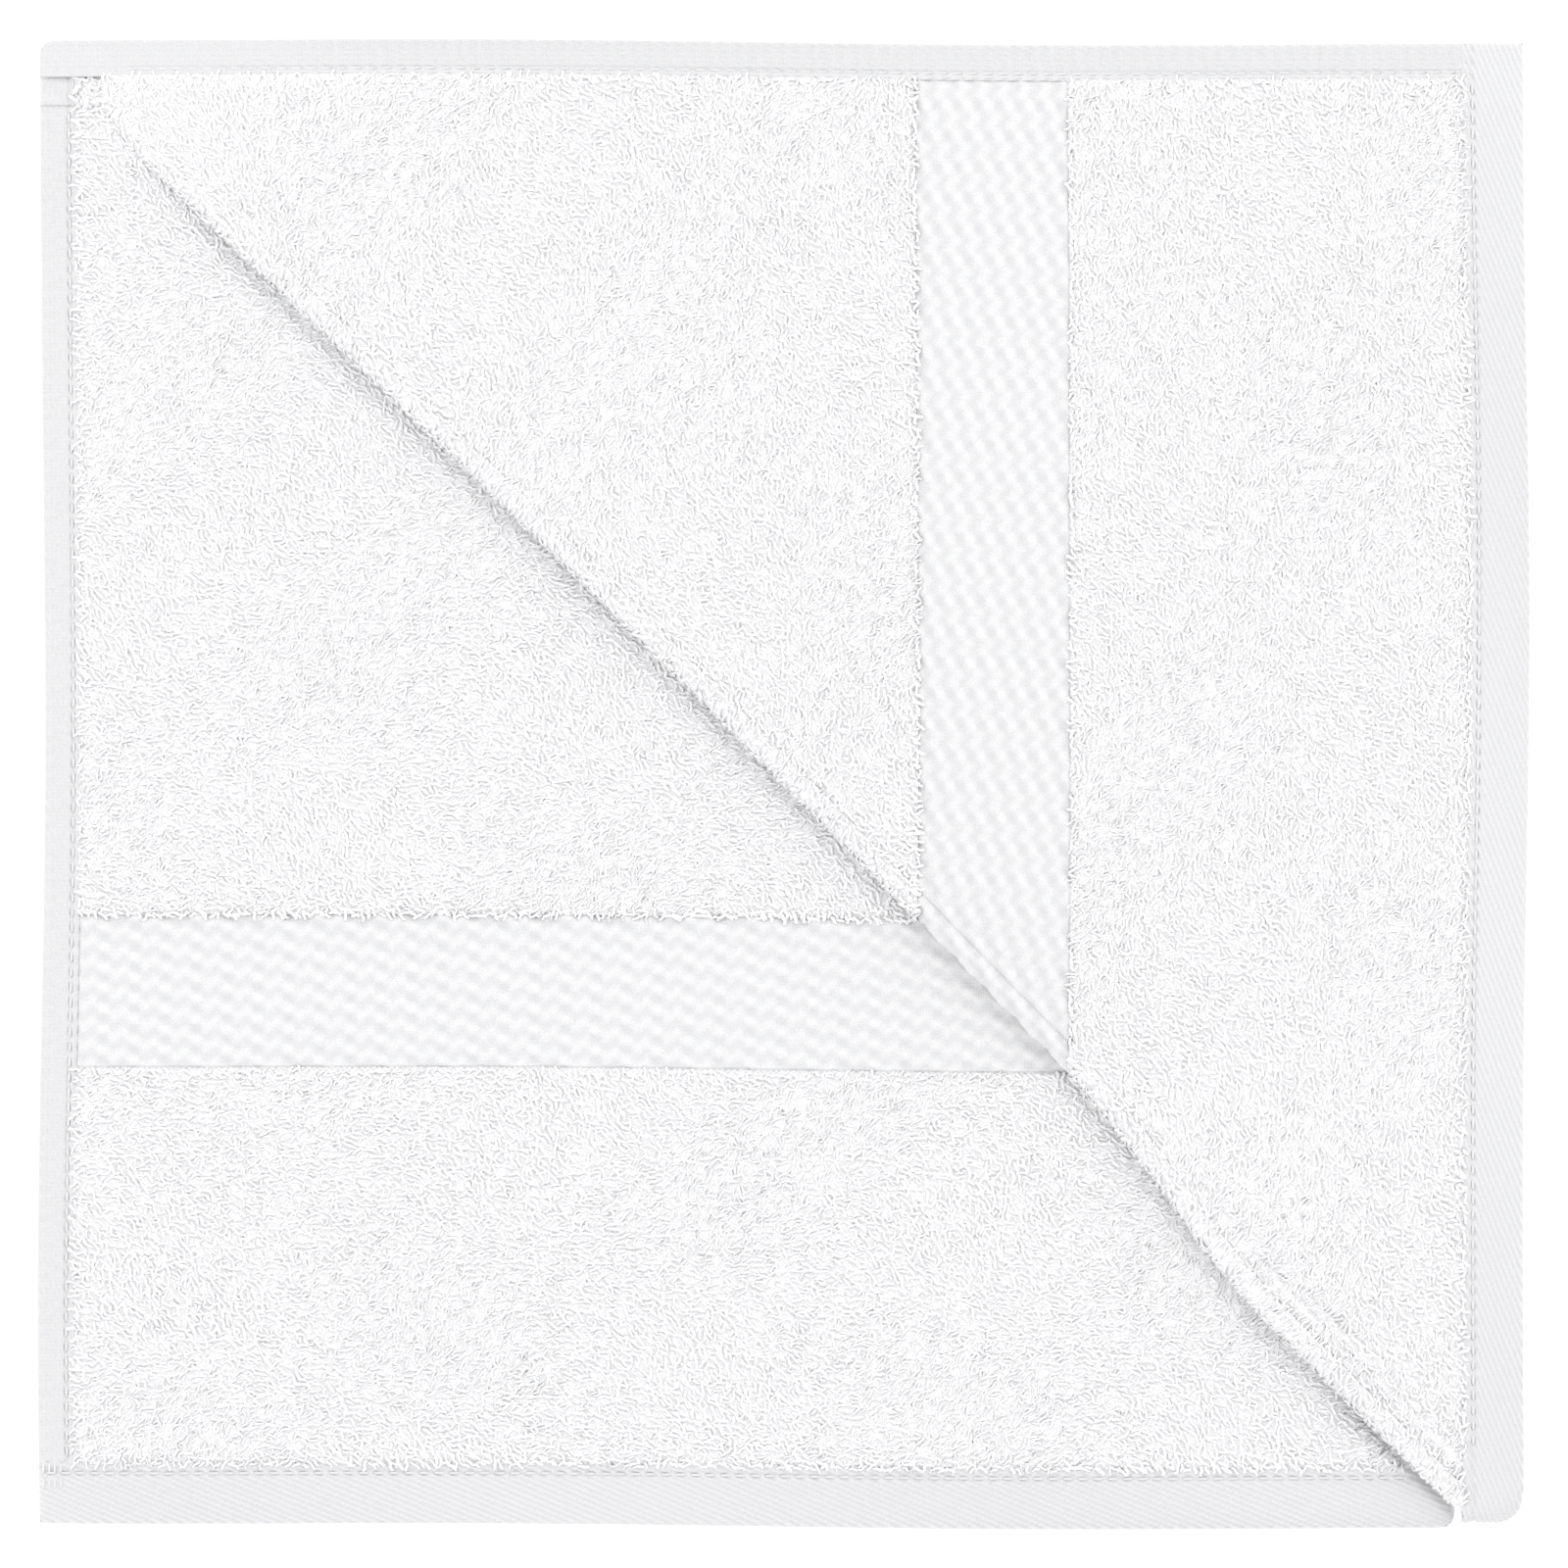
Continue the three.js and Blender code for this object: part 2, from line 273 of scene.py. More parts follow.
@dataclass(frozen=True)
class TurnedLay(Lay):
    """Ply 8: flat beyond the diagonal, round the roll, and back over itself as the turned-back corner.

    Across the fold the cloth keeps its length. Distance beyond the diagonal falls to the roll's axis, half a
    turn of the roll takes up as much cloth on each side of the diagonal, and then the distance grows again on
    top. The roll bulges to the left near the far corner and towards the near edge at the other.
    """

    far_bulge: float = 4.4 * MM
    near_bulge: float = 11.4 * MM
    bulge_reach: float = 46 * MM
    droop: float = 2.2 * MM
    ridge: float = 1.3 * MM
    hollow: float = 1.9 * MM
    tightness: float = 0.55
    rolled: bool = True

    def bare(self, x: Array, y: Array, h: Array) -> Array:
        """The section across the fold, slid along the diagonal, with the roll's bulges and tight far end.

        Args:
            x: Places across the cloth, in metres.
            y: Places along it.
            h: Heights over the middle of its ply.

        Returns:
            One point in space for each place.
        """
        reach = CUT.reach(x, y)
        along = CUT.along(x, y)
        share = along / (math.sqrt(2.0) * (CUT.far - CUT.near))
        radius = 2.0 * CUT.axis_reach / math.pi
        if self.rolled:
            angle = np.clip((CUT.axis_reach - reach) / radius, 0.0, math.pi)
            past = np.maximum(reach - CUT.axis_reach, 0.0)
            back = np.maximum(-reach - CUT.axis_reach, 0.0)
        else:
            angle = np.full_like(x, math.pi)
            past = np.zeros_like(x)
            back = -reach - CUT.axis_reach
        across = CUT.axis_reach + past + back - (radius - h) * np.sin(angle)
        height = CUT.axis_height - (radius - h) * np.cos(angle)
        height = height + self._crumple(back + past, share) * smooth(angle / math.pi)
        near = np.exp(-(((across - CUT.axis_reach) / self.bulge_reach) ** 2))
        place_x = CUT.left + (along + across) / math.sqrt(2.0)
        place_y = CUT.far + (across - along) / math.sqrt(2.0)
        bulged = near * np.exp(-((share / 0.30) ** 2)) * smooth(share / 0.09) if self.rolled else 0.0
        place_x = place_x - self.far_bulge * bulged
        place_y = place_y - self.near_bulge * near * smooth((share - 0.69) / 0.14)
        over_edge = smooth((place_y - CUT.wrap_start) / (CUT.far - CUT.wrap_start))
        height = height - self.droop * over_edge * smooth(angle / math.pi)
        tight = 1.0 - self.tightness * smooth((0.15 - share) / 0.12)
        base = CUT.level(8) - 2.0 * MM
        return np.stack([place_x, place_y, base + (height - base) * tight], axis=1)

    def _crumple(self, back: Array, share: Array) -> Array:
        """A ridge beside the roll and a hollow behind it, strongest five sixths of the way down it.

        Args:
            back: Distances behind the roll.
            share: How far along the diagonal each place is, from 0 to 1.

        Returns:
            What the crumples add to the height.
        """
        strength = 0.18 + np.exp(-(((share - 0.84) / 0.085) ** 2))
        wander = 1.2 * MM * np.sin(share * 60.0)
        ridge = self.ridge * np.exp(-(((back - 1.0 * MM) / (2.4 * MM)) ** 2))
        hollow = self.hollow * np.exp(-(((back - 5.6 * MM - wander) / (2.0 * MM)) ** 2))
        return strength * (ridge - hollow)


@dataclass(frozen=True)
class ColumnLay(Lay):
    """The turned-back end hem, which now lies down the right side and turns under at its near end.

    x is the distance down the hem from its far end and y the distance in from the packet's right edge. At the
    near end the hem goes round a half circle, which starts sooner towards the outer edge, for a round corner.
    """

    radius: float = 4.0 * MM
    turn: float = 353.9 * MM
    corner: float = 6.4 * MM
    sag: float = 0.9 * MM

    def bare(self, x: Array, y: Array, h: Array) -> Array:
        """Straight down the side, then under.

        Args:
            x: Places across the cloth, in metres.
            y: Places along it.
            h: Heights over the middle of its ply.

        Returns:
            One point in space for each place.
        """
        outer = np.clip(1.0 - y / self.corner, 0.0, 1.0)
        start = self.turn - self.corner * (1.0 - np.sqrt(1.0 - np.minimum(outer, 0.995) ** 2)) - self.radius
        over = np.maximum(x - start, 0.0)
        angle = np.minimum(over / self.radius, math.pi)
        rest = np.maximum(over - math.pi * self.radius, 0.0)
        out = self.radius + h
        place_y = CUT.far - np.minimum(x, start) - out * np.sin(angle) + rest
        height = CUT.level(9) - self.radius + out * np.cos(angle)
        height = height - self.sag * np.exp(-((y / (7 * MM)) ** 2))
        over_edge = smooth((place_y - CUT.wrap_start) / (CUT.far - CUT.wrap_start))
        return np.stack([CUT.flap_right - y, place_y, height - 2.2 * MM * over_edge], axis=1)


@dataclass(frozen=True)
class StripLay(Lay):
    """A pair of plies joined by the lengthwise fold, carried along a path of flats and half turns.

    In cloth coordinates x runs from the lower ply's hemmed edge, round the lengthwise fold and back to the
    upper ply's hemmed edge, and y is the distance along the path. h is towards the outside of the pair.
    """

    start_level: float
    start_y: float
    heading: float
    runs: tuple[tuple[str, float], ...]
    half_gap: float = HALF_GAP

    def width(self) -> float:
        """The cloth's width across both plies and round the fold."""
        return 2.0 * self.flat_width() + math.pi * self.half_gap

    def flat_width(self) -> float:
        """Width of the flat of one ply, from its hemmed edge to where the fold starts."""
        return CUT.side_fold - 2.0 * self.half_gap - CUT.left

    def length(self) -> float:
        """The path's length."""
        return sum(amount * (math.pi if kind != "flat" else 1.0) for kind, amount in self.runs)

    def section(self, x: Array, h: Array) -> tuple[Array, Array]:
        """Across the pair: its x, and the offset from the pair's middle, negative on its lower ply.

        Args:
            x: Places across the cloth, in metres.
            h: Heights over the middle of its ply.

        Returns:
            The x of each place, and its offset from the pair's middle.
        """
        flat = self.flat_width()
        angle = np.clip((x - flat) / self.half_gap, 0.0, math.pi)
        back = np.maximum(x - flat - math.pi * self.half_gap, 0.0)
        out = self.half_gap + h
        across = CUT.left + np.minimum(x, flat) - back + out * np.sin(angle)
        return across, -out * np.cos(angle)

    def path(self, y: Array, offset: Array) -> tuple[Array, Array]:
        """Along the path: each flat goes straight on, and each half turn bends up round its own centre.

        Args:
            y: Places along the cloth, in metres.
            offset: Offsets from the pair's middle.

        Returns:
            The y and the z of each place.
        """
        place_y = np.full_like(y, np.nan)
        place_z = np.full_like(y, np.nan)
        at_y, at_z, heading, done = self.start_y, self.start_level, self.heading, 0.0
        for index, (kind, amount) in enumerate(self.runs):
            span = amount * (math.pi if kind != "flat" else 1.0)
            last = index == len(self.runs) - 1
            here = ((y >= done - 1e-9) | (index == 0)) & ((y <= done + span) | last)
            part = y - done
            side = offset if self._upright(index) else -offset
            if kind == "flat":
                place_y[here] = at_y + heading * part[here]
                place_z[here] = at_z + side[here]
                at_y += heading * span
            else:
                angle = part[here] / amount
                out = amount - side[here]
                place_y[here] = at_y + heading * out * np.sin(angle)
                place_z[here] = at_z + amount - out * np.cos(angle)
                at_z += 2.0 * amount
                heading = -heading
            done += span
        return place_y, place_z

    def stations(self, coarse: float, fine: float) -> Array:
        """Distances along the path, a coarse step apart on flats and a fine one round turns.

        Args:
            coarse: The step on flats.
            fine: The step round turns.

        Returns:
            The distances, from 0 to the path's length.
        """
        parts, done = [np.zeros(1)], 0.0
        for kind, amount in self.runs:
            span = amount * (math.pi if kind != "flat" else 1.0)
            parts.append(spread(done, done + span, coarse if kind == "flat" else fine)[1:])
            done += span
        return np.concatenate(parts)

    def columns(self, start: float, end: float, coarse: float, fine: float) -> Array:
        """Distances across the pair between two ends, fine round the lengthwise fold.

        Args:
            start: Where they start.
            end: Where they end.
            coarse: The step on the plies.
            fine: The step round the fold.

        Returns:
            The distances.
        """
        fold = np.array([self.flat_width() - 2 * MM, self.flat_width() + math.pi * self.half_gap + 2 * MM])
        marks = np.concatenate([[start], fold[(fold > start) & (fold < end)], [end]])
        parts = [np.array([start])]
        for low, high in zip(marks[:-1], marks[1:], strict=True):
            round_fold = low >= fold[0] - 1e-9 and high <= fold[1] + 1e-9
            parts.append(spread(low, high, fine if round_fold else coarse)[1:])
        return np.concatenate(parts)

    def _upright(self, index: int) -> bool:
        """True while the pair has made an even number of half turns before this run."""
        return sum(kind != "flat" for kind, _ in self.runs[:index]) % 2 == 0

    def bare(self, x: Array, y: Array, h: Array) -> Array:
        """The section's offset carried along the path.

        Args:
            x: Places across the cloth, in metres.
            y: Places along it.
            h: Heights over the middle of its ply.

        Returns:
            One point in space for each place.
        """
        across, offset = self.section(x, h)
        place_y, place_z = self.path(y, offset)
        return SUNK.apply(np.stack([across, place_y, place_z], axis=1), raised=False)


# ------------------------------------------------------------------------------
# Meshes


def grid_faces(rows: int, columns: int) -> Array:
    """Quads of a grid whose points are stored row by row, turning from rows to columns.

    Args:
        rows: Rows of points.
        columns: Points in each row.

    Returns:
        One row of point numbers per quad.
    """
    corner = np.arange(rows - 1)[:, None] * columns + np.arange(columns - 1)[None, :]
    corner = corner.ravel()
    return np.stack([corner, corner + 1, corner + columns + 1, corner + columns], axis=1)


def rim_faces(rows: int, columns: int) -> Array:
    """Quads that join the rim of one grid to the same rim of a second grid stored after it.

    Args:
        rows: Rows of points.
        columns: Points in each row.

    Returns:
        One row of point numbers per quad.
    """
    top = np.arange(columns)
    right = np.arange(rows) * columns + columns - 1
    bottom = (rows - 1) * columns + np.arange(columns)[::-1]
    left = np.arange(rows)[::-1] * columns
    ring = np.concatenate([top[:-1], right[:-1], bottom[:-1], left[:-1]])
    following = np.roll(ring, -1)
    other = rows * columns
    return np.stack([following, ring, ring + other, following + other], axis=1)


def tube_faces(bends: int, sides: int) -> Array:
    """Quads of a tube whose points are stored ring by ring.

    Args:
        bends: Rings along the tube.
        sides: Points in each ring.

    Returns:
        One row of point numbers per quad.
    """
    bend = np.arange(bends - 1)[:, None] * sides
    side = np.arange(sides)[None, :]
    following = (side + 1) % sides
    quads = np.stack([bend + side, bend + following, bend + sides + following, bend + sides + side], axis=2)
    return quads.reshape(-1, 4)


def make_object(name: str, points: Array, quads: Array, cloth: Array | None = None) -> bpy.types.Object:
    """Makes a smooth mesh object.

    Args:
        name: What the piece is, in words. The object's name has underscores for its spaces.
        points: (n, 3) places in metres.
        quads: (m, k) corners of each face, all with k sides.
        cloth: (n, 2) cloth coordinates in metres, kept as the UV map that weaves follow, in centimetres.

    Returns:
        The object, linked into the scene.
    """
    name = name.replace(",", "").replace(" ", "_")
    mesh = bpy.data.meshes.new(name)
    sides = quads.shape[1]
    mesh.vertices.add(len(points))
    mesh.vertices.foreach_set("co", points.astype(np.float32).ravel())
    mesh.loops.add(quads.size)
    mesh.loops.foreach_set("vertex_index", quads.astype(np.int32).ravel())
    mesh.polygons.add(len(quads))
    mesh.polygons.foreach_set("loop_start", np.arange(0, quads.size, sides, dtype=np.int32))
    mesh.polygons.foreach_set("use_smooth", np.ones(len(quads), dtype=bool))
    if cloth is not None:
        layer = mesh.uv_layers.new(name="cloth")
        layer.data.foreach_set("uv", (cloth[quads.ravel()] * 100.0).astype(np.float32).ravel())
    mesh.update(calc_edges=True)
    mesh.validate()
    piece = bpy.data.objects.new(name, mesh)
    bpy.context.scene.collection.objects.link(piece)
    return piece


def slab(name: str, lay: Lay, x: Array, y: Array, top: Array, bottom: Array) -> bpy.types.Object:
    """A closed sheet: one grid at its top heights, one at its bottom heights, and a rim between them.

    Args:
        name: The object's name.
        lay: Where the cloth lies.
        x: (rows, columns) distances across the ply.
        y: (rows, columns) distances along it.
        top: (rows, columns) heights of the upper surface.
        bottom: (rows, columns) heights of the lower surface.

    Returns:
        The object.
    """
    rows, columns = x.shape
    points = np.concatenate([lay.place(x, y, top), lay.place(x, y, bottom)])
    upper = grid_faces(rows, columns)
    lower = upper[:, ::-1] + rows * columns
    quads = np.concatenate([upper, lower, rim_faces(rows, columns)])
    quads = face_outwards(points, quads)
    cloth = np.stack([np.tile(x.ravel(), 2), np.tile(y.ravel(), 2)], axis=1)
    piece = make_object(name, points, quads, cloth)
    flat = np.ones(len(piece.data.polygons), dtype=bool)
    flat[2 * len(upper):] = False
    if len(flat) == len(quads):
        piece.data.polygons.foreach_set("use_smooth", flat)
    return piece


def face_outwards(points: Array, faces: Array) -> Array:
    """Turns every face over if the mesh's volume, summed over tetrahedra to its middle, is negative.

    Args:
        points: The mesh's points.
        faces: The point numbers of its faces.

    Returns:
        The faces, turned over or as they were.
    """
    centred = points - points.mean(axis=0)
    a, b, c = centred[faces[:, 0]], centred[faces[:, 1]], centred[faces[:, 2]]
    volume = np.einsum("ij,ij->i", a, np.cross(b, c)).sum()
    if faces.shape[1] == 4:
        d = centred[faces[:, 3]]
        volume += np.einsum("ij,ij->i", a, np.cross(c, d)).sum()
    return faces if volume > 0.0 else faces[:, ::-1]


def joined(name: str, parts: list[bpy.types.Object]) -> bpy.types.Object:
    """Joins separate pieces into one object of several closed bodies.

    Args:
        name: The joined object's name.
        parts: The objects to join. They are removed.

    Returns:
        The joined object.
    """
    bpy.ops.object.select_all(action="DESELECT")
    for part in parts:
        part.select_set(True)
    bpy.context.view_layer.objects.active = parts[0]
    bpy.ops.object.join()
    parts[0].name = name
    parts[0].data.name = name
    return parts[0]


# ------------------------------------------------------------------------------
# Finishes


class NodeMaker:
    """Adds shader nodes to one material with short calls."""

    def __init__(self, name: str) -> None:
        """Makes a material with only its output and a Principled shader.

        Args:
            name: The material's name.
        """
        self.material = bpy.data.materials.new(name)
        self.material.use_nodes = True
        self.tree = self.material.node_tree
        self.tree.nodes.clear()
        self.shader = self.tree.nodes.new("ShaderNodeBsdfPrincipled")
        output = self.tree.nodes.new("ShaderNodeOutputMaterial")
        self.link(self.shader.outputs["BSDF"], output.inputs["Surface"])

    def link(self, source: bpy.types.NodeSocket, target: bpy.types.NodeSocket) -> None:
        """Links two sockets."""
        self.tree.links.new(source, target)

    def cloth(self) -> bpy.types.NodeSocket:
        """The cloth's own coordinates in centimetres, across and along the ply.

        Returns:
            The coordinates' socket.
        """
        node = self.tree.nodes.new("ShaderNodeUVMap")
        node.uv_map = "cloth"
        return node.outputs["UV"]

    def place(self) -> bpy.types.NodeSocket:
        """The place in the row's frame, in metres."""
        return self.tree.nodes.new("ShaderNodeTexCoord").outputs["Object"]

    def math(self, kind: str, *values: "bpy.types.NodeSocket | float") -> bpy.types.NodeSocket:
        """A Math node.

        Args:
            kind: The operation's name.
            values: Its inputs, each a socket or a number.

        Returns:
            Its output.
        """
        node = self.tree.nodes.new("ShaderNodeMath")
        node.operation = kind
        for socket, value in zip(node.inputs, values, strict=False):
            if isinstance(value, bpy.types.NodeSocket):
                self.link(value, socket)
            else:
                socket.default_value = value
        return node.outputs[0]

    def ripple(
        self, coordinates: bpy.types.NodeSocket, across: float, along: float, phase: float = 0.0
    ) -> bpy.types.NodeSocket:
        """A sine of the cloth coordinates.

        Args:
            coordinates: The cloth coordinates.
            across: Waves in each centimetre across the ply.
            along: Waves in each centimetre along it.
            phase: Where in its wave the sine starts, in radians.

        Returns:
            A value from -1 to 1.
        """
        node = self.tree.nodes.new("ShaderNodeVectorMath")
        node.operation = "DOT_PRODUCT"
        self.link(coordinates, node.inputs[0])
        node.inputs[1].default_value = (across * TAU, along * TAU, 0.0)
        return self.math("SINE", self.math("ADD", node.outputs["Value"], phase))

    def noise(self, coordinates: bpy.types.NodeSocket, scale: float, detail: float) -> bpy.types.NodeSocket:
        """A noise of the coordinates, from 0 to 1.

        Args:
            coordinates: What the noise follows.
            scale: How many features to a unit.
            detail: How many finer layers it adds.

        Returns:
            The noise's socket.
        """
        node = self.tree.nodes.new("ShaderNodeTexNoise")
        node.inputs["Scale"].default_value = scale
        node.inputs["Detail"].default_value = detail
        node.inputs["Roughness"].default_value = 0.6
        self.link(coordinates, node.inputs["Vector"])
        return node.outputs["Fac"]

    def tint(self, amount: bpy.types.NodeSocket, dark: tuple[float, ...], light: tuple[float, ...]) -> None:
        """Sets the colour between two by an amount from 0 to 1.

        Args:
            amount: The socket of the amount.
            dark: The colour at 0.
            light: The colour at 1.
        """
        ramp = self.tree.nodes.new("ShaderNodeValToRGB")
        ramp.color_ramp.elements[0].position = 0.3
        ramp.color_ramp.elements[1].position = 0.7
        ramp.color_ramp.elements[0].color = (*dark, 1.0)
        ramp.color_ramp.elements[1].color = (*light, 1.0)
        self.link(amount, ramp.inputs["Fac"])
        self.link(ramp.outputs["Color"], self.shader.inputs["Base Color"])

    def bump(self, height: bpy.types.NodeSocket, distance: float, strength: float) -> None:
        """Tilts the surface by a height.

        Args:
            height: A value.
            distance: Metres for one unit of the value.
            strength: From 0 to 1.
        """
        node = self.tree.nodes.new("ShaderNodeBump")
        node.inputs["Strength"].default_value = strength
        node.inputs["Distance"].default_value = distance
        self.link(height, node.inputs["Height"])
        self.link(node.outputs["Normal"], self.shader.inputs["Normal"])


@dataclass(frozen=True)
class Finish:
    """A white cotton finish: two near whites, roughness, sheen and the record's material slot."""

    name: str
    slot: str
    dark: tuple[float, float, float]
    light: tuple[float, float, float]
    roughness: float
    sheen: float

    def begin(self) -> NodeMaker:
        """A material with this finish's constants set on its shader.

        Returns:
            The maker, ready for the pattern.
        """
        maker = NodeMaker(self.name)
        maker.shader.inputs["Roughness"].default_value = self.roughness
        maker.shader.inputs["Specular IOR Level"].default_value = 0.25
        maker.shader.inputs["Sheen Weight"].default_value = self.sheen
        maker.shader.inputs["Sheen Roughness"].default_value = 0.45
        return maker

    def build(self) -> bpy.types.Material:
        """The material. Each kind of finish adds its own pattern."""
        raise NotImplementedError

    def dress(self, piece: bpy.types.Object, material: bpy.types.Material) -> None:
        """Puts the material on a piece.

        Args:
            piece: The piece.
            material: The finish's material.
        """
        piece.data.materials.clear()
        piece.data.materials.append(material)


@dataclass(frozen=True)
class Yarn(Finish):
    """Soft spun pile yarn: a twist along it and fine fibre, with slow drifts of brightness."""

    fibre_scale: float = 2600.0

    def build(self) -> bpy.types.Material:
        """Fibre noise for the bump, and a mix of fine and slow noise for the tint.

        Returns:
            The material.
        """
        maker = self.begin()
        place = maker.place()
        fine = maker.noise(place, self.fibre_scale, 3.0)
        slow = maker.noise(place, 120.0, 2.0)
        shade = maker.math("ADD", maker.math("MULTIPLY", fine, 0.55), maker.math("MULTIPLY", slow, 0.45))
        maker.tint(shade, self.dark, self.light)
        maker.bump(fine, 0.2 * MM, 0.3)
        return maker.material


@dataclass(frozen=True)
class Ground(Finish):
    """The cloth that the loops stand on: a close plain weave under tufts."""

    def build(self) -> bpy.types.Material:
        """Two crossed ripples make the weave, and noise in two sizes makes the tufts.

        Returns:
            The material.
        """
        maker = self.begin()
        cloth = maker.cloth()
        weave = maker.math("MULTIPLY", maker.ripple(cloth, 7.0, 0.0), maker.ripple(cloth, 0.0, 7.0))
        place = maker.place()
        tufts = maker.noise(place, 620.0, 3.0)
        height = maker.math("ADD", maker.math("MULTIPLY", weave, 0.15), tufts)
        maker.tint(tufts, self.dark, self.light)
        maker.bump(height, 1.1 * MM, 0.8)
        return maker.material


@dataclass(frozen=True)
class Figured(Finish):
    """The border's figured weave: raised lozenges on a flat ground of fine floats in both directions."""

    cells: float = 2.02

    def build(self) -> bpy.types.Material:
        """Threads across and along, fibre, and painted shade from the relief's lozenges and rows: their
        raised tops are painted lighter and the hollows darker.

        Returns:
            The material.
        """
        maker = self.begin()
        cloth = maker.cloth()
        weft = maker.ripple(cloth, 0.0, 22.0)
        warp = maker.ripple(cloth, 18.0, 0.0)
        fibre = maker.noise(maker.place(), 3000.0, 2.0)
        threads = maker.math("ADD", maker.math("MULTIPLY", weft, 0.5), maker.math("MULTIPLY", warp, 0.35))
        # Painted shade: the lozenges and rows only tint the colour, lighter on their tops and darker in the
        # hollows between them, as light and shade would fall on the relief.
        across = maker.ripple(cloth, self.cells, 0.0, math.pi / 2.0)
        painted_lozenge_shade = maker.math("MULTIPLY", across, maker.ripple(cloth, 0.0, self.cells, math.pi / 2.0))
        row = maker.ripple(cloth, self.cells / 3.0, self.cells, math.pi / 2.0)
        rise = maker.math("ADD", maker.math("MULTIPLY", painted_lozenge_shade, 0.14), maker.math("MULTIPLY", row, 0.11))
        shade = maker.math("ADD", rise, fibre)
        maker.tint(shade, self.dark, self.light)
        maker.bump(maker.math("ADD", threads, fibre), 0.07 * MM, 0.7)
        return maker.material


@dataclass(frozen=True)
class Twill(Finish):
    """The hems' flat weave: slanting twill lines crossed by fine weft."""

    slant_across: float = 2.9
    slant_along: float = 7.0

    def build(self) -> bpy.types.Material:
        """A slanting ripple for the twill and a finer one for the threads.

        Returns:
            The material.
        """
        maker = self.begin()
        cloth = maker.cloth()
        twill = maker.ripple(cloth, self.slant_across, self.slant_along)
        threads = maker.ripple(cloth, 15.0, 2.0)
        fibre = maker.noise(maker.place(), 2800.0, 2.0)
        shade = maker.math("ADD", maker.math("MULTIPLY", twill, 0.2), fibre)
        height = maker.math("ADD", maker.math("ADD", twill, maker.math("MULTIPLY", threads, 0.25)), fibre)
        maker.tint(shade, self.dark, self.light)
        maker.bump(height, 0.10 * MM, 0.75)
        return maker.material


@dataclass(frozen=True)
class Ribbed(Finish):
    """The side hems' weave: fine ribs along the hem, crossed by short weft ticks."""

    def build(self) -> bpy.types.Material:
        """Ribs at eight to the centimetre across the hem, ticks at eleven along it, and fibre.

        Returns:
            The material.
        """
        maker = self.begin()
        cloth = maker.cloth()
        ribs = maker.ripple(cloth, 8.0, 0.0)
        ticks = maker.math("MULTIPLY", maker.ripple(cloth, 0.0, 11.0), 0.45)
        fibre = maker.noise(maker.place(), 2200.0, 3.0)
        height = maker.math("ADD", maker.math("ADD", ribs, ticks), fibre)
        maker.tint(fibre, self.dark, self.light)
        maker.bump(height, 0.09 * MM, 0.75)
        return maker.material


YARN = Yarn("terry_loops", "terry", (0.975, 0.973, 0.978), (0.995, 0.994, 0.992), 0.92, 0.15)
GROUND = Ground("terry_ground", "terry", (0.96, 0.96, 0.965), (0.99, 0.989, 0.987), 0.95, 0.15)
# FIGURED's two whites span both the border's random fibre tone and the painted shade of its lozenge relief.
FIGURED = Figured("border_weave", "dobby_border", (0.73, 0.73, 0.734), (0.865, 0.864, 0.863), 0.8, 0.1)
TWILL = Twill("hem_twill", "hem_weave", (0.735, 0.735, 0.739), (0.815, 0.814, 0.815), 0.8, 0.1)
RIBBED = Ribbed("hem_ribs", "hem_weave", (0.72, 0.72, 0.722), (0.80, 0.80, 0.80), 0.8, 0.1)
THREAD = Yarn("sewing_thread", "sewing_thread", (0.76, 0.76, 0.765), (0.83, 0.83, 0.83), 0.6, 0.08)


class Wardrobe:
    """Builds each finish once and puts it on pieces."""

    def __init__(self) -> None:
        """Starts with no material built."""
        self.made: dict[str, bpy.types.Material] = {}

    def dress(self, piece: bpy.types.Object, finish: Finish) -> bpy.types.Object:
        """Dresses a piece in a finish and gives the piece back.

        Args:
            piece: The piece.
            finish: Its finish.

        Returns:
            The piece.
        """
        if finish.name not in self.made:
            self.made[finish.name] = finish.build()
        finish.dress(piece, self.made[finish.name])
        return piece


# ------------------------------------------------------------------------------
# Loop pile


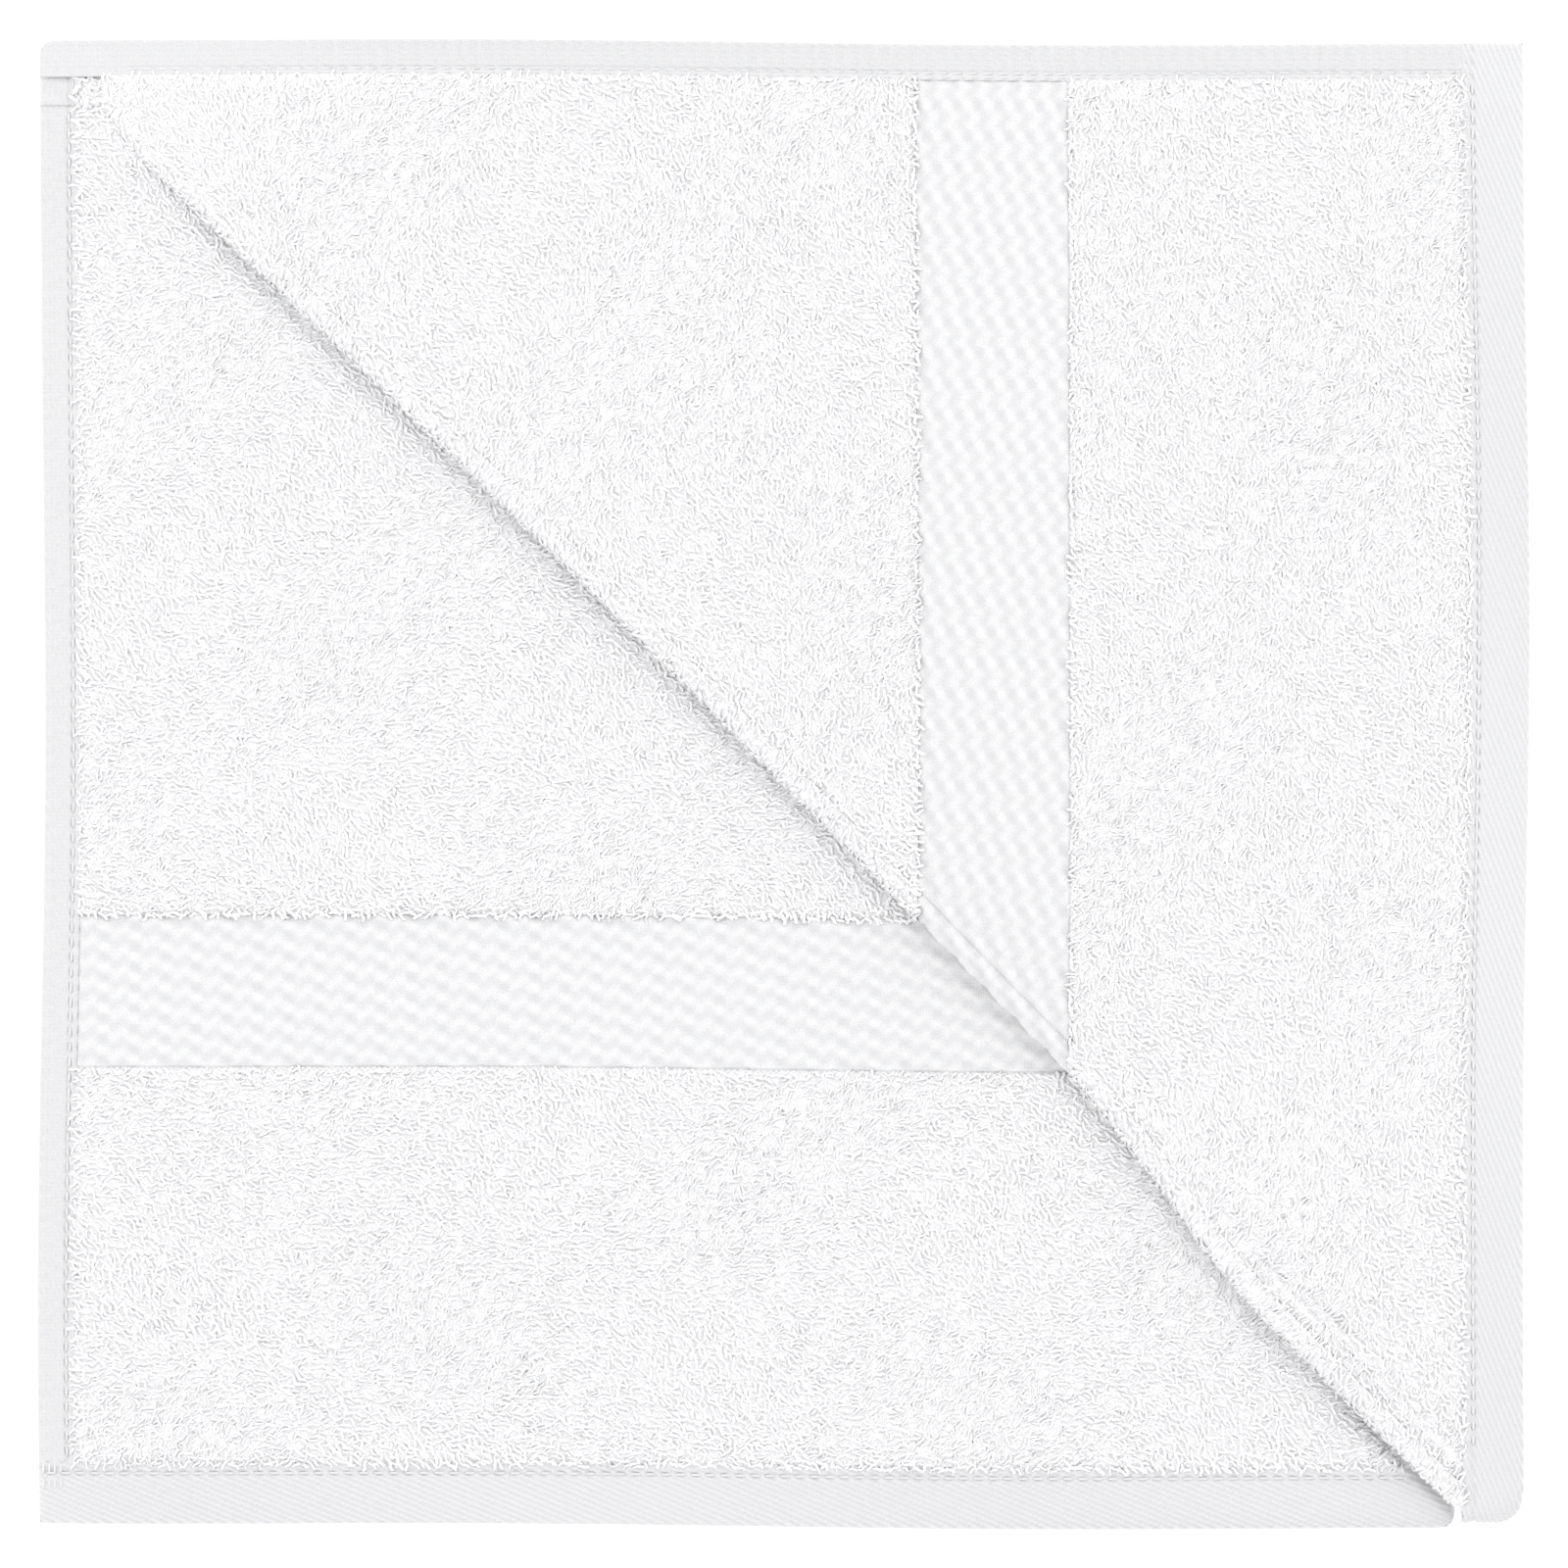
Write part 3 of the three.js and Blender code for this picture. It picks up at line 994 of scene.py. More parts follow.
@dataclass(frozen=True)
class Pile:
    """Uncut terry loops: each a bent tube of yarn that leaves the ground, curls over and comes back to it."""

    spacing: float
    height: float
    yarn: float
    bends: int = 4
    sides: int = 3
    span: float = 2.3 * MM
    lean: float = 0.35 * MM

    def feet(self, area: tuple[float, float, float, float], keep: Shape, rng: np.random.Generator) -> Array:
        """Where the loops stand: a staggered grid, shaken, with those outside the outline left out.

        Args:
            area: Least x, most x, least y and most y.
            keep: True at places that have loops.
            rng: The random source.

        Returns:
            (n, 2) cloth coordinates.
        """
        x0, x1, y0, y1 = area
        columns = np.arange(x0, x1, self.spacing)
        rows = np.arange(y0, y1, self.spacing * 0.92)
        x, y = np.meshgrid(columns, rows)
        x = x + (np.arange(len(rows)) % 2)[:, None] * self.spacing * 0.5
        feet = np.stack([x.ravel(), y.ravel()], axis=1)
        feet += rng.uniform(-0.38, 0.38, feet.shape) * self.spacing
        return feet[keep(feet[:, 0], feet[:, 1])]

    def curves(self, feet: Array, rng: np.random.Generator) -> Array:
        """The middle line of each loop.

        A loop goes out evenly along its own direction and rises as a flattened sine of half a turn. It leans
        to one side with its height, and twists sideways as the sine of a whole turn.

        Args:
            feet: (n, 2) cloth coordinates.
            rng: The random source.

        Returns:
            (n, bends, 3) as x, y and height above the ground.
        """
        count = len(feet)
        size = rng.uniform(0.7, 1.25, (count, 1))
        foot_x, foot_y = feet.T
        patch = np.sin(foot_x * 61.0 + 2.0 * np.sin(foot_y * 47.0)) + np.cos(foot_y * 73.0 - foot_x * 38.0)
        turn = (0.55 * patch + rng.normal(0.0, 0.62, count))[:, None]
        tilt = turn + rng.uniform(0.6, 2.4, (count, 1))
        share = np.linspace(0.0, 1.0, self.bends)[None, :]
        out = self.span * size * (share - 0.5)
        twist = 0.16 * self.span * np.sin(TAU * share) * rng.uniform(-1.0, 1.0, (count, 1))
        rise = self.height * rng.uniform(0.55, 1.25, (count, 1)) * np.sin(math.pi * share) ** 0.7 - 0.12 * MM
        over = self.lean * rng.uniform(0.2, 1.2, (count, 1)) * np.sin(math.pi * share) ** 1.5
        x = feet[:, :1] + out * np.cos(turn) - twist * np.sin(turn) + over * np.cos(tilt)
        y = feet[:, 1:] + out * np.sin(turn) + twist * np.cos(turn) + over * np.sin(tilt)
        return np.stack([x, y, rise], axis=2)

    def tubes(self, curves: Array, rng: np.random.Generator) -> tuple[Array, Array]:
        """Tubes round middle lines, open where they go into the ground.

        Args:
            curves: (n, bends, 3) middle lines.
            rng: The random source.

        Returns:
            (n * bends * sides, 3) points and the quads between them.
        """
        count = len(curves)
        ahead = np.gradient(curves, axis=1)
        ahead /= np.linalg.norm(ahead, axis=2, keepdims=True) + 1e-12
        aside = np.cross(ahead, np.array([0.31, 0.17, 1.0]))
        aside /= np.linalg.norm(aside, axis=2, keepdims=True) + 1e-12
        upward = np.cross(aside, ahead)
        round_ = (np.arange(self.sides) / self.sides * TAU)[None, None, :, None]
        width = self.yarn * rng.uniform(0.8, 1.2, (count, 1, 1, 1))
        ring = np.cos(round_) * aside[:, :, None, :] + np.sin(round_) * upward[:, :, None, :]
        points = curves[:, :, None, :] + width * ring
        one = tube_faces(self.bends, self.sides)
        start = (np.arange(count) * self.bends * self.sides)[:, None, None]
        return points.reshape(-1, 3), (one[None] + start).reshape(-1, 4)

    def grow(
        self,
        name: str,
        lay: Lay,
        area: tuple[float, float, float, float],
        keep: Shape,
        ground: float,
        face: Face,
        seed: int,
    ) -> bpy.types.Object:
        """Grows loops on one face of a laid cloth.

        Args:
            name: The piece's name.
            lay: Where the cloth lies.
            area: Least x, most x, least y and most y of the cloth to cover.
            keep: True at places that have loops.
            ground: Height of the ground's surface off the ply's middle.
            face: The face that the loops stand on.
            seed: The random seed.

        Returns:
            The piece.
        """
        rng = np.random.default_rng(seed)
        feet = self.feet(area, keep, rng)
        points, quads = self.tubes(self.curves(feet, rng), rng)
        heights = face.value * (ground + points[:, 2])
        return make_object(name, lay.place(points[:, 0], points[:, 1], heights), quads)


FINE_PILE = Pile(spacing=1.46 * MM, height=0.55 * MM, yarn=0.46 * MM)
EDGE_PILE = Pile(spacing=2.2 * MM, height=0.6 * MM, yarn=0.64 * MM)
PLAIN_PILE = Pile(spacing=6.2 * MM, height=0.5 * MM, yarn=1.1 * MM, span=6.4 * MM)


# ------------------------------------------------------------------------------
# Profiles shared by several pieces


def spread(start: float, end: float, step: float) -> Array:
    """Evenly spaced values from start to end, at most a step apart."""
    return np.linspace(start, end, max(2, int(math.ceil(abs(end - start) / step)) + 1))


def rounded(across: Array, low: Array, high: Array, edge: float) -> Array:
    """How full a padded edge is: 0 at its ends, rising along a quarter circle to 1 an edge's width inside."""
    inside = np.clip(np.minimum(across - low, high - across) / edge, 0.0, 1.0)
    return np.sqrt(np.maximum(1.0 - (1.0 - inside) ** 2, 0.0))


@dataclass(frozen=True)
class HemStyle:
    """A turned hem: flat twill folded under twice, padded by its layers, pinched along its stitching."""

    thickness: float = 2.2 * MM
    edge: float = 1.3 * MM
    ridge: float = 0.17 * MM
    twill_along: float = 3.5 * MM
    twill_across: float = 1.45 * MM
    pinch: float = 0.62 * MM
    pinch_width: float = 0.75 * MM

    def half(self, length: Array, width: Array, low: float, high: float, seam: float) -> Array:
        """Half the hem's thickness: a rounded band with slanting twill ridges, less a groove at the seam.

        Args:
            length: Distances along the hem.
            width: Distances across it.
            low: Where the band starts across.
            high: Where it ends.
            seam: Where the stitching runs across.

        Returns:
            Half thicknesses.
        """
        full = rounded(width, low, high, self.edge)
        ridges = np.sin(TAU * (length / self.twill_along + width / self.twill_across))
        groove = np.exp(-(((width - seam) / self.pinch_width) ** 2))
        stitch_dip = 1.0 + 0.35 * np.sin(TAU * length / (3.6 * MM))
        return full * (0.5 * self.thickness + self.ridge * ridges - self.pinch * groove * stitch_dip)


HEM = HemStyle()
SEAM_INSET = 2.2 * MM
SIDE_SEAM_INSET = 1.4 * MM
STITCH_PITCH = 3.6 * MM
STITCH_HEIGHT = 0.5 * HEM.thickness - 0.42 * MM
LEAST_HALF = 0.08 * MM


@dataclass(frozen=True)
class Relief:
    """The border's figures: small raised lozenges in staggered rows, on both faces of the cloth."""

    cell: float = 4.95 * MM
    rise: float = 0.46 * MM
    base: float = 0.74 * MM
    step: float = 0.78 * MM

    def height(self, x: Array, y: Array) -> Array:
        """The base, a rise on each lozenge from two crossed cosines, and a slanting swell that links them.

        Args:
            x: Places across the cloth, in metres.
            y: Places along it.

        Returns:
            Half the thickness at each place.
        """
        product = np.cos(TAU * x / self.cell) * np.cos(TAU * y / self.cell)
        row = np.cos(TAU * (y + x / 3.0) / self.cell)
        return self.base + self.rise * (0.55 * np.tanh(1.6 * product) + 0.5 * row)


RELIEF = Relief()


def stitches(
    name: str, lay: Lay, along: Array, across: float, height: float, turned: bool
) -> bpy.types.Object:
    """A line of lockstitches: each a short low arch of thread, six-sided and closed at its ends.

    Args:
        name: The piece's name.
        lay: Where the cloth lies.
        along: Middles of the stitches along the seam.
        across: The seam's place across.
        height: Height of the hem's surface off the ply's middle.
        turned: True if the seam runs along y rather than x.

    Returns:
        The piece.
    """
    bends, sides, reach, radius = 6, 6, 0.38 * STITCH_PITCH, 0.34 * MM
    share = np.linspace(-1.0, 1.0, bends)
    thick = radius * np.sqrt(np.maximum(1.0 - np.abs(share) ** 4, 0.02))
    angle = np.arange(sides) / sides * TAU
    run = along[:, None, None] + reach * share[None, :, None] + 0.0 * angle[None, None, :]
    aside = across + thick[None, :, None] * np.cos(angle)[None, None, :] + 0.0 * run
    arch = 0.25 * MM * (1.0 - share**2)[None, :, None]
    up = height + arch + thick[None, :, None] * np.sin(angle)[None, None, :] + 0.0 * run
    fan = np.arange(0, sides - 2, 2)
    start_cap = np.stack([fan * 0, (fan + 3) % sides, fan + 2, fan + 1], axis=1)
    end_cap = np.stack([fan * 0, fan + 1, fan + 2, (fan + 3) % sides], axis=1) + (bends - 1) * sides
    one = np.concatenate([tube_faces(bends, sides), start_cap, end_cap])
    starts = (np.arange(len(along)) * bends * sides)[:, None, None]
    quads = (one[None] + starts).reshape(-1, 4)
    first, second = (aside, run) if turned else (run, aside)
    points = lay.place(first, second, up)
    return make_object(name, points, face_outwards(points, quads))


def ruled(y: Array, left: Shape, right: Shape, columns: int) -> tuple[Array, Array]:
    """A grid whose rows keep one y each and run evenly from a left edge to a right edge.

    Args:
        y: The rows' places.
        left: Each row's left end, as a function of y.
        right: Each row's right end.
        columns: How many points a row has.

    Returns:
        The grid's x and y.
    """
    share = np.linspace(0.0, 1.0, columns)[None, :]
    start = np.broadcast_to(left(y), y.shape)[:, None]
    end = np.broadcast_to(right(y), y.shape)[:, None]
    x = start + (end - start) * share
    return x, np.broadcast_to(y[:, None], x.shape)


def past_diagonal(reach: float) -> Shape:
    """The line at a distance beyond the diagonal, as x for each y."""
    return lambda y: CUT.left + CUT.far - y + math.sqrt(2.0) * reach


def everywhere(x: Array, y: Array) -> Array:
    """True at every place."""
    return np.ones_like(x, dtype=bool)


def corner_drop(value: Array, start: float, corner: float) -> Array:
    """How far a round corner's edge falls short, at distances from its start up to the corner's radius."""
    share = np.clip(1.0 - (value - start) / corner, 0.0, 0.995)
    return corner * (1.0 - np.sqrt(1.0 - share**2))


def always(value: float) -> Shape:
    """One x for every y."""
    return lambda y: np.full_like(y, value)


ROLL_EDGE = 5.2 * MM
GROUND_HALF = 1.15 * MM
PLY_HALF = 1.85 * MM


# ------------------------------------------------------------------------------
# Sub-assemblies


@dataclass
class SubAssembly:
    """A group of pieces of the towel and the body or bodies that they move with."""

    wardrobe: Wardrobe
    made: list[bpy.types.Object] = field(default_factory=list)

    def finished(self, piece: bpy.types.Object, finish: Finish, body: Body, *nodes: str) -> bpy.types.Object:
        """Dresses a piece, sets it to ride on a body, and hides the nodes it stands for.

        Args:
            piece: The piece.
            finish: Its finish.
            body: The body that it moves with.
            nodes: The part's nodes that it replaces.

        Returns:
            The piece.
        """
        self.wardrobe.dress(piece, finish)
        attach(piece, body.value)
        return self._kept(piece, nodes)

    def bending(
        self,
        piece: bpy.types.Object,
        finish: Finish,
        bodies: tuple[Body, Body],
        low: float,
        high: float,
        *nodes: str,
    ) -> bpy.types.Object:
        """Dresses a piece and bakes its place into its mesh; it is attached to no body and does not bend.

        Args:
            piece: The piece.
            finish: Its finish.
            bodies: The two bodies it would bend between. Not used.
            low: The height below which it would follow the first. Not used.
            high: The height above which it would follow the second. Not used.
            nodes: The nodes it stands for.

        Returns:
            The piece.
        """
        self.wardrobe.dress(piece, finish)
        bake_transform(piece)
        return self._kept(piece, nodes)

    def _kept(self, piece: bpy.types.Object, nodes: tuple[str, ...]) -> bpy.types.Object:
        """Hides the replaced nodes, notes the piece and reports it.

        Args:
            piece: The piece.
            nodes: The part's nodes that it replaces.

        Returns:
            The piece.
        """
        if nodes:
            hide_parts(*nodes)
        self.made.append(piece)
        LOG.info("%s: %d faces", piece.name, len(piece.data.polygons))
        return piece


@dataclass
class Strip(SubAssembly):
    """A pair of plies joined at the lengthwise fold: its terry, its two side hems and its loops."""

    name: str = ""
    lay: StripLay = field(default_factory=lambda: StripLay(0.0, 0.0, -1.0, ()))
    seed: int = 1
    coarse: float = 7 * MM
    fine: float = 0.9 * MM
    hem_step: float = 0.9 * MM

    def terry(
        self,
        bare_from: float,
        bare_to: float,
        start: float = 0.0,
        end: float | None = None,
        part: tuple[float, float] | None = None,
    ) -> bpy.types.Object:
        """The terry between the side hems, thin where loops stand on its outer face.

        Args:
            bare_from: Where across the pair the loops start.
            bare_to: Where they end.
            start: Distance along the path where the terry starts.
            end: Distance where it ends, or None for the path's end.
            part: Where across the pair the piece starts and ends, or None for all of it.

        Returns:
            The closed slab.
        """
        rim = CUT.side_hem - CUT.left
        low, high = part or (rim, self.lay.width() - rim)
        across = self.lay.columns(low, high, self.coarse, self.fine)
        along = self.lay.stations(self.coarse, self.fine)
        along = np.unique(np.clip(along, start, self.lay.length() if end is None else end))
        x, y = np.meshgrid(across, along)
        looped = (x >= bare_from) & (x <= bare_to)
        outer = np.where(looped, GROUND_HALF, PLY_HALF)
        return slab(f"{self.name} terry", self.lay, x, y, outer, np.full_like(x, -PLY_HALF))

    def hem(self, number: int) -> bpy.types.Object:
        """One of the two side hems: a padded band along the pair's cut edge.

        Args:
            number: 0 for the hem of the first ply, 1 for the hem of the second.

        Returns:
            The piece.
        """
        width = CUT.side_hem - CUT.left
        across = spread(0.0, width, self.hem_step)
        across = across if number == 0 else self.lay.width() - across[::-1]
        along = self.lay.stations(3 * MM, 0.9 * MM)
        x, y = np.meshgrid(across, along)
        own = x if number == 0 else self.lay.width() - x
        half = np.maximum(side_hem_half(y, own), 0.06 * MM)
        return slab(f"{self.name} side hem {number + 1}", self.lay, x, y, half, -half)

    def loops(
        self, name: str, low: float, high: float, start: float, end: float, pile: Pile
    ) -> bpy.types.Object:
        """Loops on the outer face, between two places across and two along.

        Args:
            name: What the loops are, in words.
            low: Where they start across the pair.
            high: Where they end across it.
            start: Where they start along it.
            end: Where they end along it.
            pile: The kind of pile.

        Returns:
            The piece.
        """
        self.seed += 1
        name = f"{self.name} {name}"
        area = (low, high, start, end)
        return pile.grow(name, self.lay, area, everywhere, GROUND_HALF, Face.UPPER, self.seed)


@dataclass
class LowerHalf(SubAssembly):
    """Plies 1 to 4: a pair laid flat, turned up over itself at the near edge, and laid flat again."""

    near_radius: float = 4 * MM

    def build(self) -> None:
        """Builds the terry, hems and loops."""
        flat = CUT.wrap_start - CUT.cross_start
        runs = (("flat", flat), ("turn", self.near_radius), ("flat", flat))
        lay = StripLay(CUT.level(1) + HALF_GAP, CUT.wrap_start, -1.0, runs)
        strip = Strip(self.wardrobe, name="lower plies", lay=lay, seed=10)
        rim = CUT.side_hem - CUT.left
        fold_end = lay.flat_width() + math.pi * lay.half_gap
        body = strip.terry(rim, fold_end)
        nodes = [f"ply_{n}_terry" for n in range(1, 5)]
        nodes += ["side_fold_1_2", "side_fold_3_4", "cross_fold_1_4", "cross_fold_2_3"]
        self.finished(body, GROUND, Body.LOWER, *nodes)
        hems = [
            self.finished(strip.hem(0), RIBBED, Body.LOWER, "ply_1_side_hem", "ply_4_side_hem"),
            self.finished(strip.hem(1), RIBBED, Body.LOWER, "ply_2_side_hem", "ply_3_side_hem"),
        ]
        side = lay.flat_width() - 3 * MM
        low, high = flat - 1 * MM, flat + math.pi * self.near_radius + 1 * MM
        piles = [
            strip.loops("loops below", rim, side, 0.0, low, PLAIN_PILE),
            strip.loops("loops on the near fold", rim, lay.flat_width(), low, high, EDGE_PILE),
            strip.loops("loops above", rim, side, high, lay.length(), PLAIN_PILE),
            strip.loops("loops on the side fold", side, fold_end + 2 * MM, 0.0, lay.length(), EDGE_PILE),
        ]
        for pile in piles:
            self.finished(pile, YARN, Body.LOWER)


@dataclass
class FarWraps(SubAssembly):
    """The two pairs that go round the far edge and join the halves."""

    outer_radius: float = 12 * MM
    inner_radius: float = 4 * MM
    overlap: float = 3 * MM

    def build(self) -> None:
        """Builds the outer wrap, plies 1 and 2 to 8 and 7, and the inner one, plies 3 and 4 to 6 and 5."""
        self._wrap("outer wrap", 2, self.outer_radius, ("wrap_1_8", "wrap_2_7"), 20)
        self._wrap("inner wrap", 4, self.inner_radius, ("wrap_3_6", "wrap_4_5"), 30)

    def _wrap(self, name: str, ply: int, radius: float, nodes: tuple[str, str], seed: int) -> None:
        """Builds one wrap.

        Args:
            name: Its name.
            ply: The upper ply of the lower pair that it continues.
            radius: From the half fold's centre to the pair's middle.
            nodes: The outer and inner wraps' node names, less their halves.
            seed: The random seed.
        """
        level = CUT.level(ply) - HALF_GAP
        lay = StripLay(level, CUT.wrap_start, 1.0, (("turn", radius),))
        strip = Strip(self.wardrobe, name=name, lay=lay, seed=seed, hem_step=0.45 * MM)
        rim = CUT.side_hem - CUT.left
        fold = (
            lay.flat_width() - self.overlap,
            lay.flat_width() + math.pi * lay.half_gap + self.overlap,
        )
        looped = (rim, fold[1]) if radius == self.outer_radius else (0.0, 0.0)
        parts = (
            ("outer ply", (rim, fold[0]), radius + lay.half_gap, 0),
            ("side fold", fold, radius, None),
            ("inner ply", (fold[1], lay.width() - rim), radius - lay.half_gap, 1),
        )
        bodies, with_them = [], []
        for number, (label, span, bend, hem) in enumerate(parts):
            zone = Strip(self.wardrobe, name=f"{name} {label}", lay=lay, seed=seed + 3 * number)
            names = [] if hem is None else [f"{nodes[hem]}_{half}" for half in ("lower", "upper")]
            bodies.append(self._bent(zone.terry(*looped, part=span), GROUND, bend, *names))
            if hem is not None:
                with_them.append(self._bent(strip.hem(hem), RIBBED, bend))
            if looped[0] <= span[0] and span[1] <= looped[1]:
                pile = zone.loops("loops", *span, 0.0, lay.length(), EDGE_PILE)
                with_them.append(self._bent(pile, YARN, bend))

    def _bent(self, piece: bpy.types.Object, finish: Finish, radius: float, *nodes: str) -> bpy.types.Object:
        """Dresses a piece that goes round the half fold at a radius; it is not bent between the halves."""
        bodies = (Body.LOWER, Body.UPPER)
        return self.bending(piece, finish, bodies, CUT.middle - radius, CUT.middle + radius, *nodes)


@dataclass
class MiddlePlies(SubAssembly):
    """Plies 5 and 6: the pair inside the upper half, with its own border, end terry and end hem."""

    def build(self) -> None:
        """Builds the pair and the end hems that show at the near edge."""
        flat = CUT.wrap_start - CUT.end_hem
        lay = StripLay(CUT.level(5) + HALF_GAP, CUT.wrap_start, -1.0, (("flat", flat),))
        strip = Strip(self.wardrobe, name="middle plies", lay=lay, seed=40)
        rim = CUT.side_hem - CUT.left
        fold_end = lay.flat_width() + math.pi * lay.half_gap
        border = (CUT.wrap_start - CUT.border_far, CUT.wrap_start - CUT.border_near)
        body = strip.terry(rim, fold_end, 0.0, border[0])
        nodes = ["ply_5_terry", "ply_6_terry", "side_fold_5_6"]
        self.finished(body, GROUND, Body.UPPER, *nodes)
        end = strip.terry(rim, fold_end, border[1], lay.length())
        end.name = "middle_plies_end_terry"
        self.finished(end, GROUND, Body.UPPER, "ply_5_end_terry", "ply_6_end_terry")
        hems = [self.finished(strip.hem(n), RIBBED, Body.UPPER, f"ply_{5 + n}_side_hem") for n in (0, 1)]
        band = self._border(lay, rim, border)
        self.finished(band, FIGURED, Body.UPPER, "ply_5_border", "ply_6_border")
        end_hem = self.finished(self._end_hem(), TWILL, Body.UPPER, "ply_5_end_hem", "ply_6_end_hem")
        side, outer, length = lay.flat_width() - 3 * MM, fold_end + 2 * MM, lay.length()
        piles = [
            strip.loops("loops below", rim, side, 0.0, border[0], PLAIN_PILE),
            strip.loops("loops below, at the end", rim, side, border[1], length, PLAIN_PILE),
            strip.loops("loops on the side fold", side, outer, 0.0, border[0], EDGE_PILE),
            strip.loops("loops on the side fold, at the end", side, outer, border[1], length, EDGE_PILE),
        ]
        for pile in piles:
            self.finished(pile, YARN, Body.UPPER)

    @staticmethod
    def _border(lay: StripLay, rim: float, border: tuple[float, float]) -> bpy.types.Object:
        """The border round both plies, with its lozenges in relief.

        Args:
            lay: How the pair lies.
            rim: The width of a side hem.
            border: The border's two ends along the pair.

        Returns:
            The piece.
        """
        across = lay.columns(rim, lay.width() - rim, 2.4 * MM, 0.7 * MM)
        x, y = np.meshgrid(across, spread(*border, 1.24 * MM))
        height = RELIEF.height(x, y)
        return slab("middle plies border", lay, x, y, height, -height)

    @staticmethod
    def _end_hem() -> bpy.types.Object:
        """The end hem round both plies at the near edge, padded, with its outer edge rounded.

        Returns:
            The piece.
        """
        length = CUT.end_hem - CUT.near
        lay = StripLay(CUT.level(5) + HALF_GAP, CUT.end_hem, -1.0, (("flat", length),))
        across = lay.columns(0.0, lay.width(), 2.4 * MM, 0.7 * MM)
        x, y = np.meshgrid(across, spread(0.0, length, 1.0 * MM))
        half = HEM.half(x, y, -1.0 * MM, length, SEAM_INSET)
        half = np.maximum(half * rounded(x, 0.0, lay.width(), HEM.edge), 0.06 * MM)
        return slab("middle plies end hem", lay, x, y, half, -half)


@dataclass
class TopPly(SubAssembly):
    """Ply 7: the cloth that shows below and left of the fold, with its border, hems and stitching."""

    right: float = 158.2 * MM
    hem_right: float = 162.0 * MM
    fold_near: float = -148 * MM

    def build(self) -> None:
        """Builds ply 7 and the lengthwise fold that joins it to ply 8."""
        lay = FlatLay(7)
        terry = self._terry(lay, "top ply terry", CUT.border_far, CUT.wrap_start)
        self.finished(terry, GROUND, Body.UPPER, "ply_7_terry")
        end = self._terry(lay, "top ply end terry", CUT.end_hem, CUT.border_near)
        self.finished(end, GROUND, Body.UPPER, "ply_7_end_terry")
        edge = self.finished(self._open_edge(lay), GROUND, Body.UPPER, "ply_7_open_edge")
        band = self.finished(self._border(lay), FIGURED, Body.UPPER, "ply_7_border")
        end_hem = self.finished(self._end_hem(lay), TWILL, Body.UPPER, "ply_7_end_hem")
        side_hem = self.finished(self._side_hem(lay), RIBBED, Body.UPPER, "ply_7_side_hem")
        end_thread = self.finished(self._end_stitches(lay), THREAD, Body.UPPER, "ply_7_end_hem_thread")
        side_thread = self.finished(self._side_stitches(lay), THREAD, Body.UPPER, "ply_7_side_hem_thread")
        upper = self._loops(lay, CUT.border_far, CUT.wrap_start, 50)
        lower = self._loops(lay, CUT.end_hem, CUT.border_near, 60)
        fold, fold_loops = self._side_fold()
        self.finished(fold, GROUND, Body.UPPER, "side_fold_7_8")
        self.finished(fold_loops, YARN, Body.UPPER)
        upper += [side_hem, side_thread]
        lower += [edge, end_hem, end_thread]

    def _terry(self, lay: FlatLay, name: str, near: float, far: float) -> bpy.types.Object:
        """A zone of terry ground, thin on top where the loops stand."""
        x, y = np.meshgrid(spread(CUT.side_hem, self.right, 3 * MM), spread(near, far, 3 * MM))
        return slab(name, lay, x, y, np.full_like(x, GROUND_HALF), np.full_like(x, -PLY_HALF))

    def _open_edge(self, lay: FlatLay) -> bpy.types.Object:
        """The narrow strip right of the terry where the lengthwise fold has opened, rounded at its edge.

        Args:
            lay: How the ply lies.

        Returns:
            The piece.
        """
        along = spread(CUT.end_hem, -146 * MM, 1 * MM)
        x, y = np.meshgrid(spread(self.right, self.hem_right, 0.5 * MM), along)
        half = np.maximum(PLY_HALF * rounded(x, self.right - 9 * MM, self.hem_right, 2 * MM), 0.1 * MM)
        return slab("top ply open edge", lay, x, y, half, -half)

    def _border(self, lay: FlatLay) -> bpy.types.Object:
        """The border, with its lozenges in relief.

        Args:
            lay: How the ply lies.

        Returns:
            The piece.
        """
        along = spread(CUT.border_near, CUT.border_far, RELIEF.step)
        x, y = np.meshgrid(spread(CUT.side_hem, self.right, RELIEF.step), along)
        height = RELIEF.height(x, y)
        return slab("top ply border", lay, x, y, height, -height)

    def _end_hem(self, lay: FlatLay) -> bpy.types.Object:
        """The end hem along the near edge: its cut end is folded in at the left, and rounded at the right.

        Args:
            lay: How the ply lies.

        Returns:
            The piece.
        """
        y = spread(CUT.near, CUT.end_hem + 0.6 * MM, 0.5 * MM)
        drop = corner_drop(y, CUT.near, 4 * MM)
        x, y = ruled(y, lambda _: CUT.left + 0.4 * drop, lambda _: self.hem_right - drop, 480)
        half = HEM.half(x, y, CUT.near, CUT.end_hem + 2 * MM, CUT.end_hem - SEAM_INSET)
        half = np.maximum(half * rounded(x, CUT.left, self.hem_right, HEM.edge), LEAST_HALF)
        return slab("top ply end hem", lay, x, y, half, -half)

    def _side_hem(self, lay: FlatLay) -> bpy.types.Object:
        """The side hem along the left edge, from the end hem to the far wrap.

        Args:
            lay: How the ply lies.

        Returns:
            The piece.
        """
        overlap = 0.8 * MM
        along = spread(CUT.end_hem - 1 * MM, CUT.wrap_start + overlap, 0.75 * MM)
        y, x = np.meshgrid(along, spread(CUT.left, CUT.side_hem + 0.5 * MM, 0.4 * MM))
        tucked = 1.0 - 0.09 * smooth((y - CUT.wrap_start) / overlap)
        half = np.maximum(side_hem_half(y, x - CUT.left) * tucked, LEAST_HALF)
        return slab("top ply side hem", lay, x, y, half, -half)

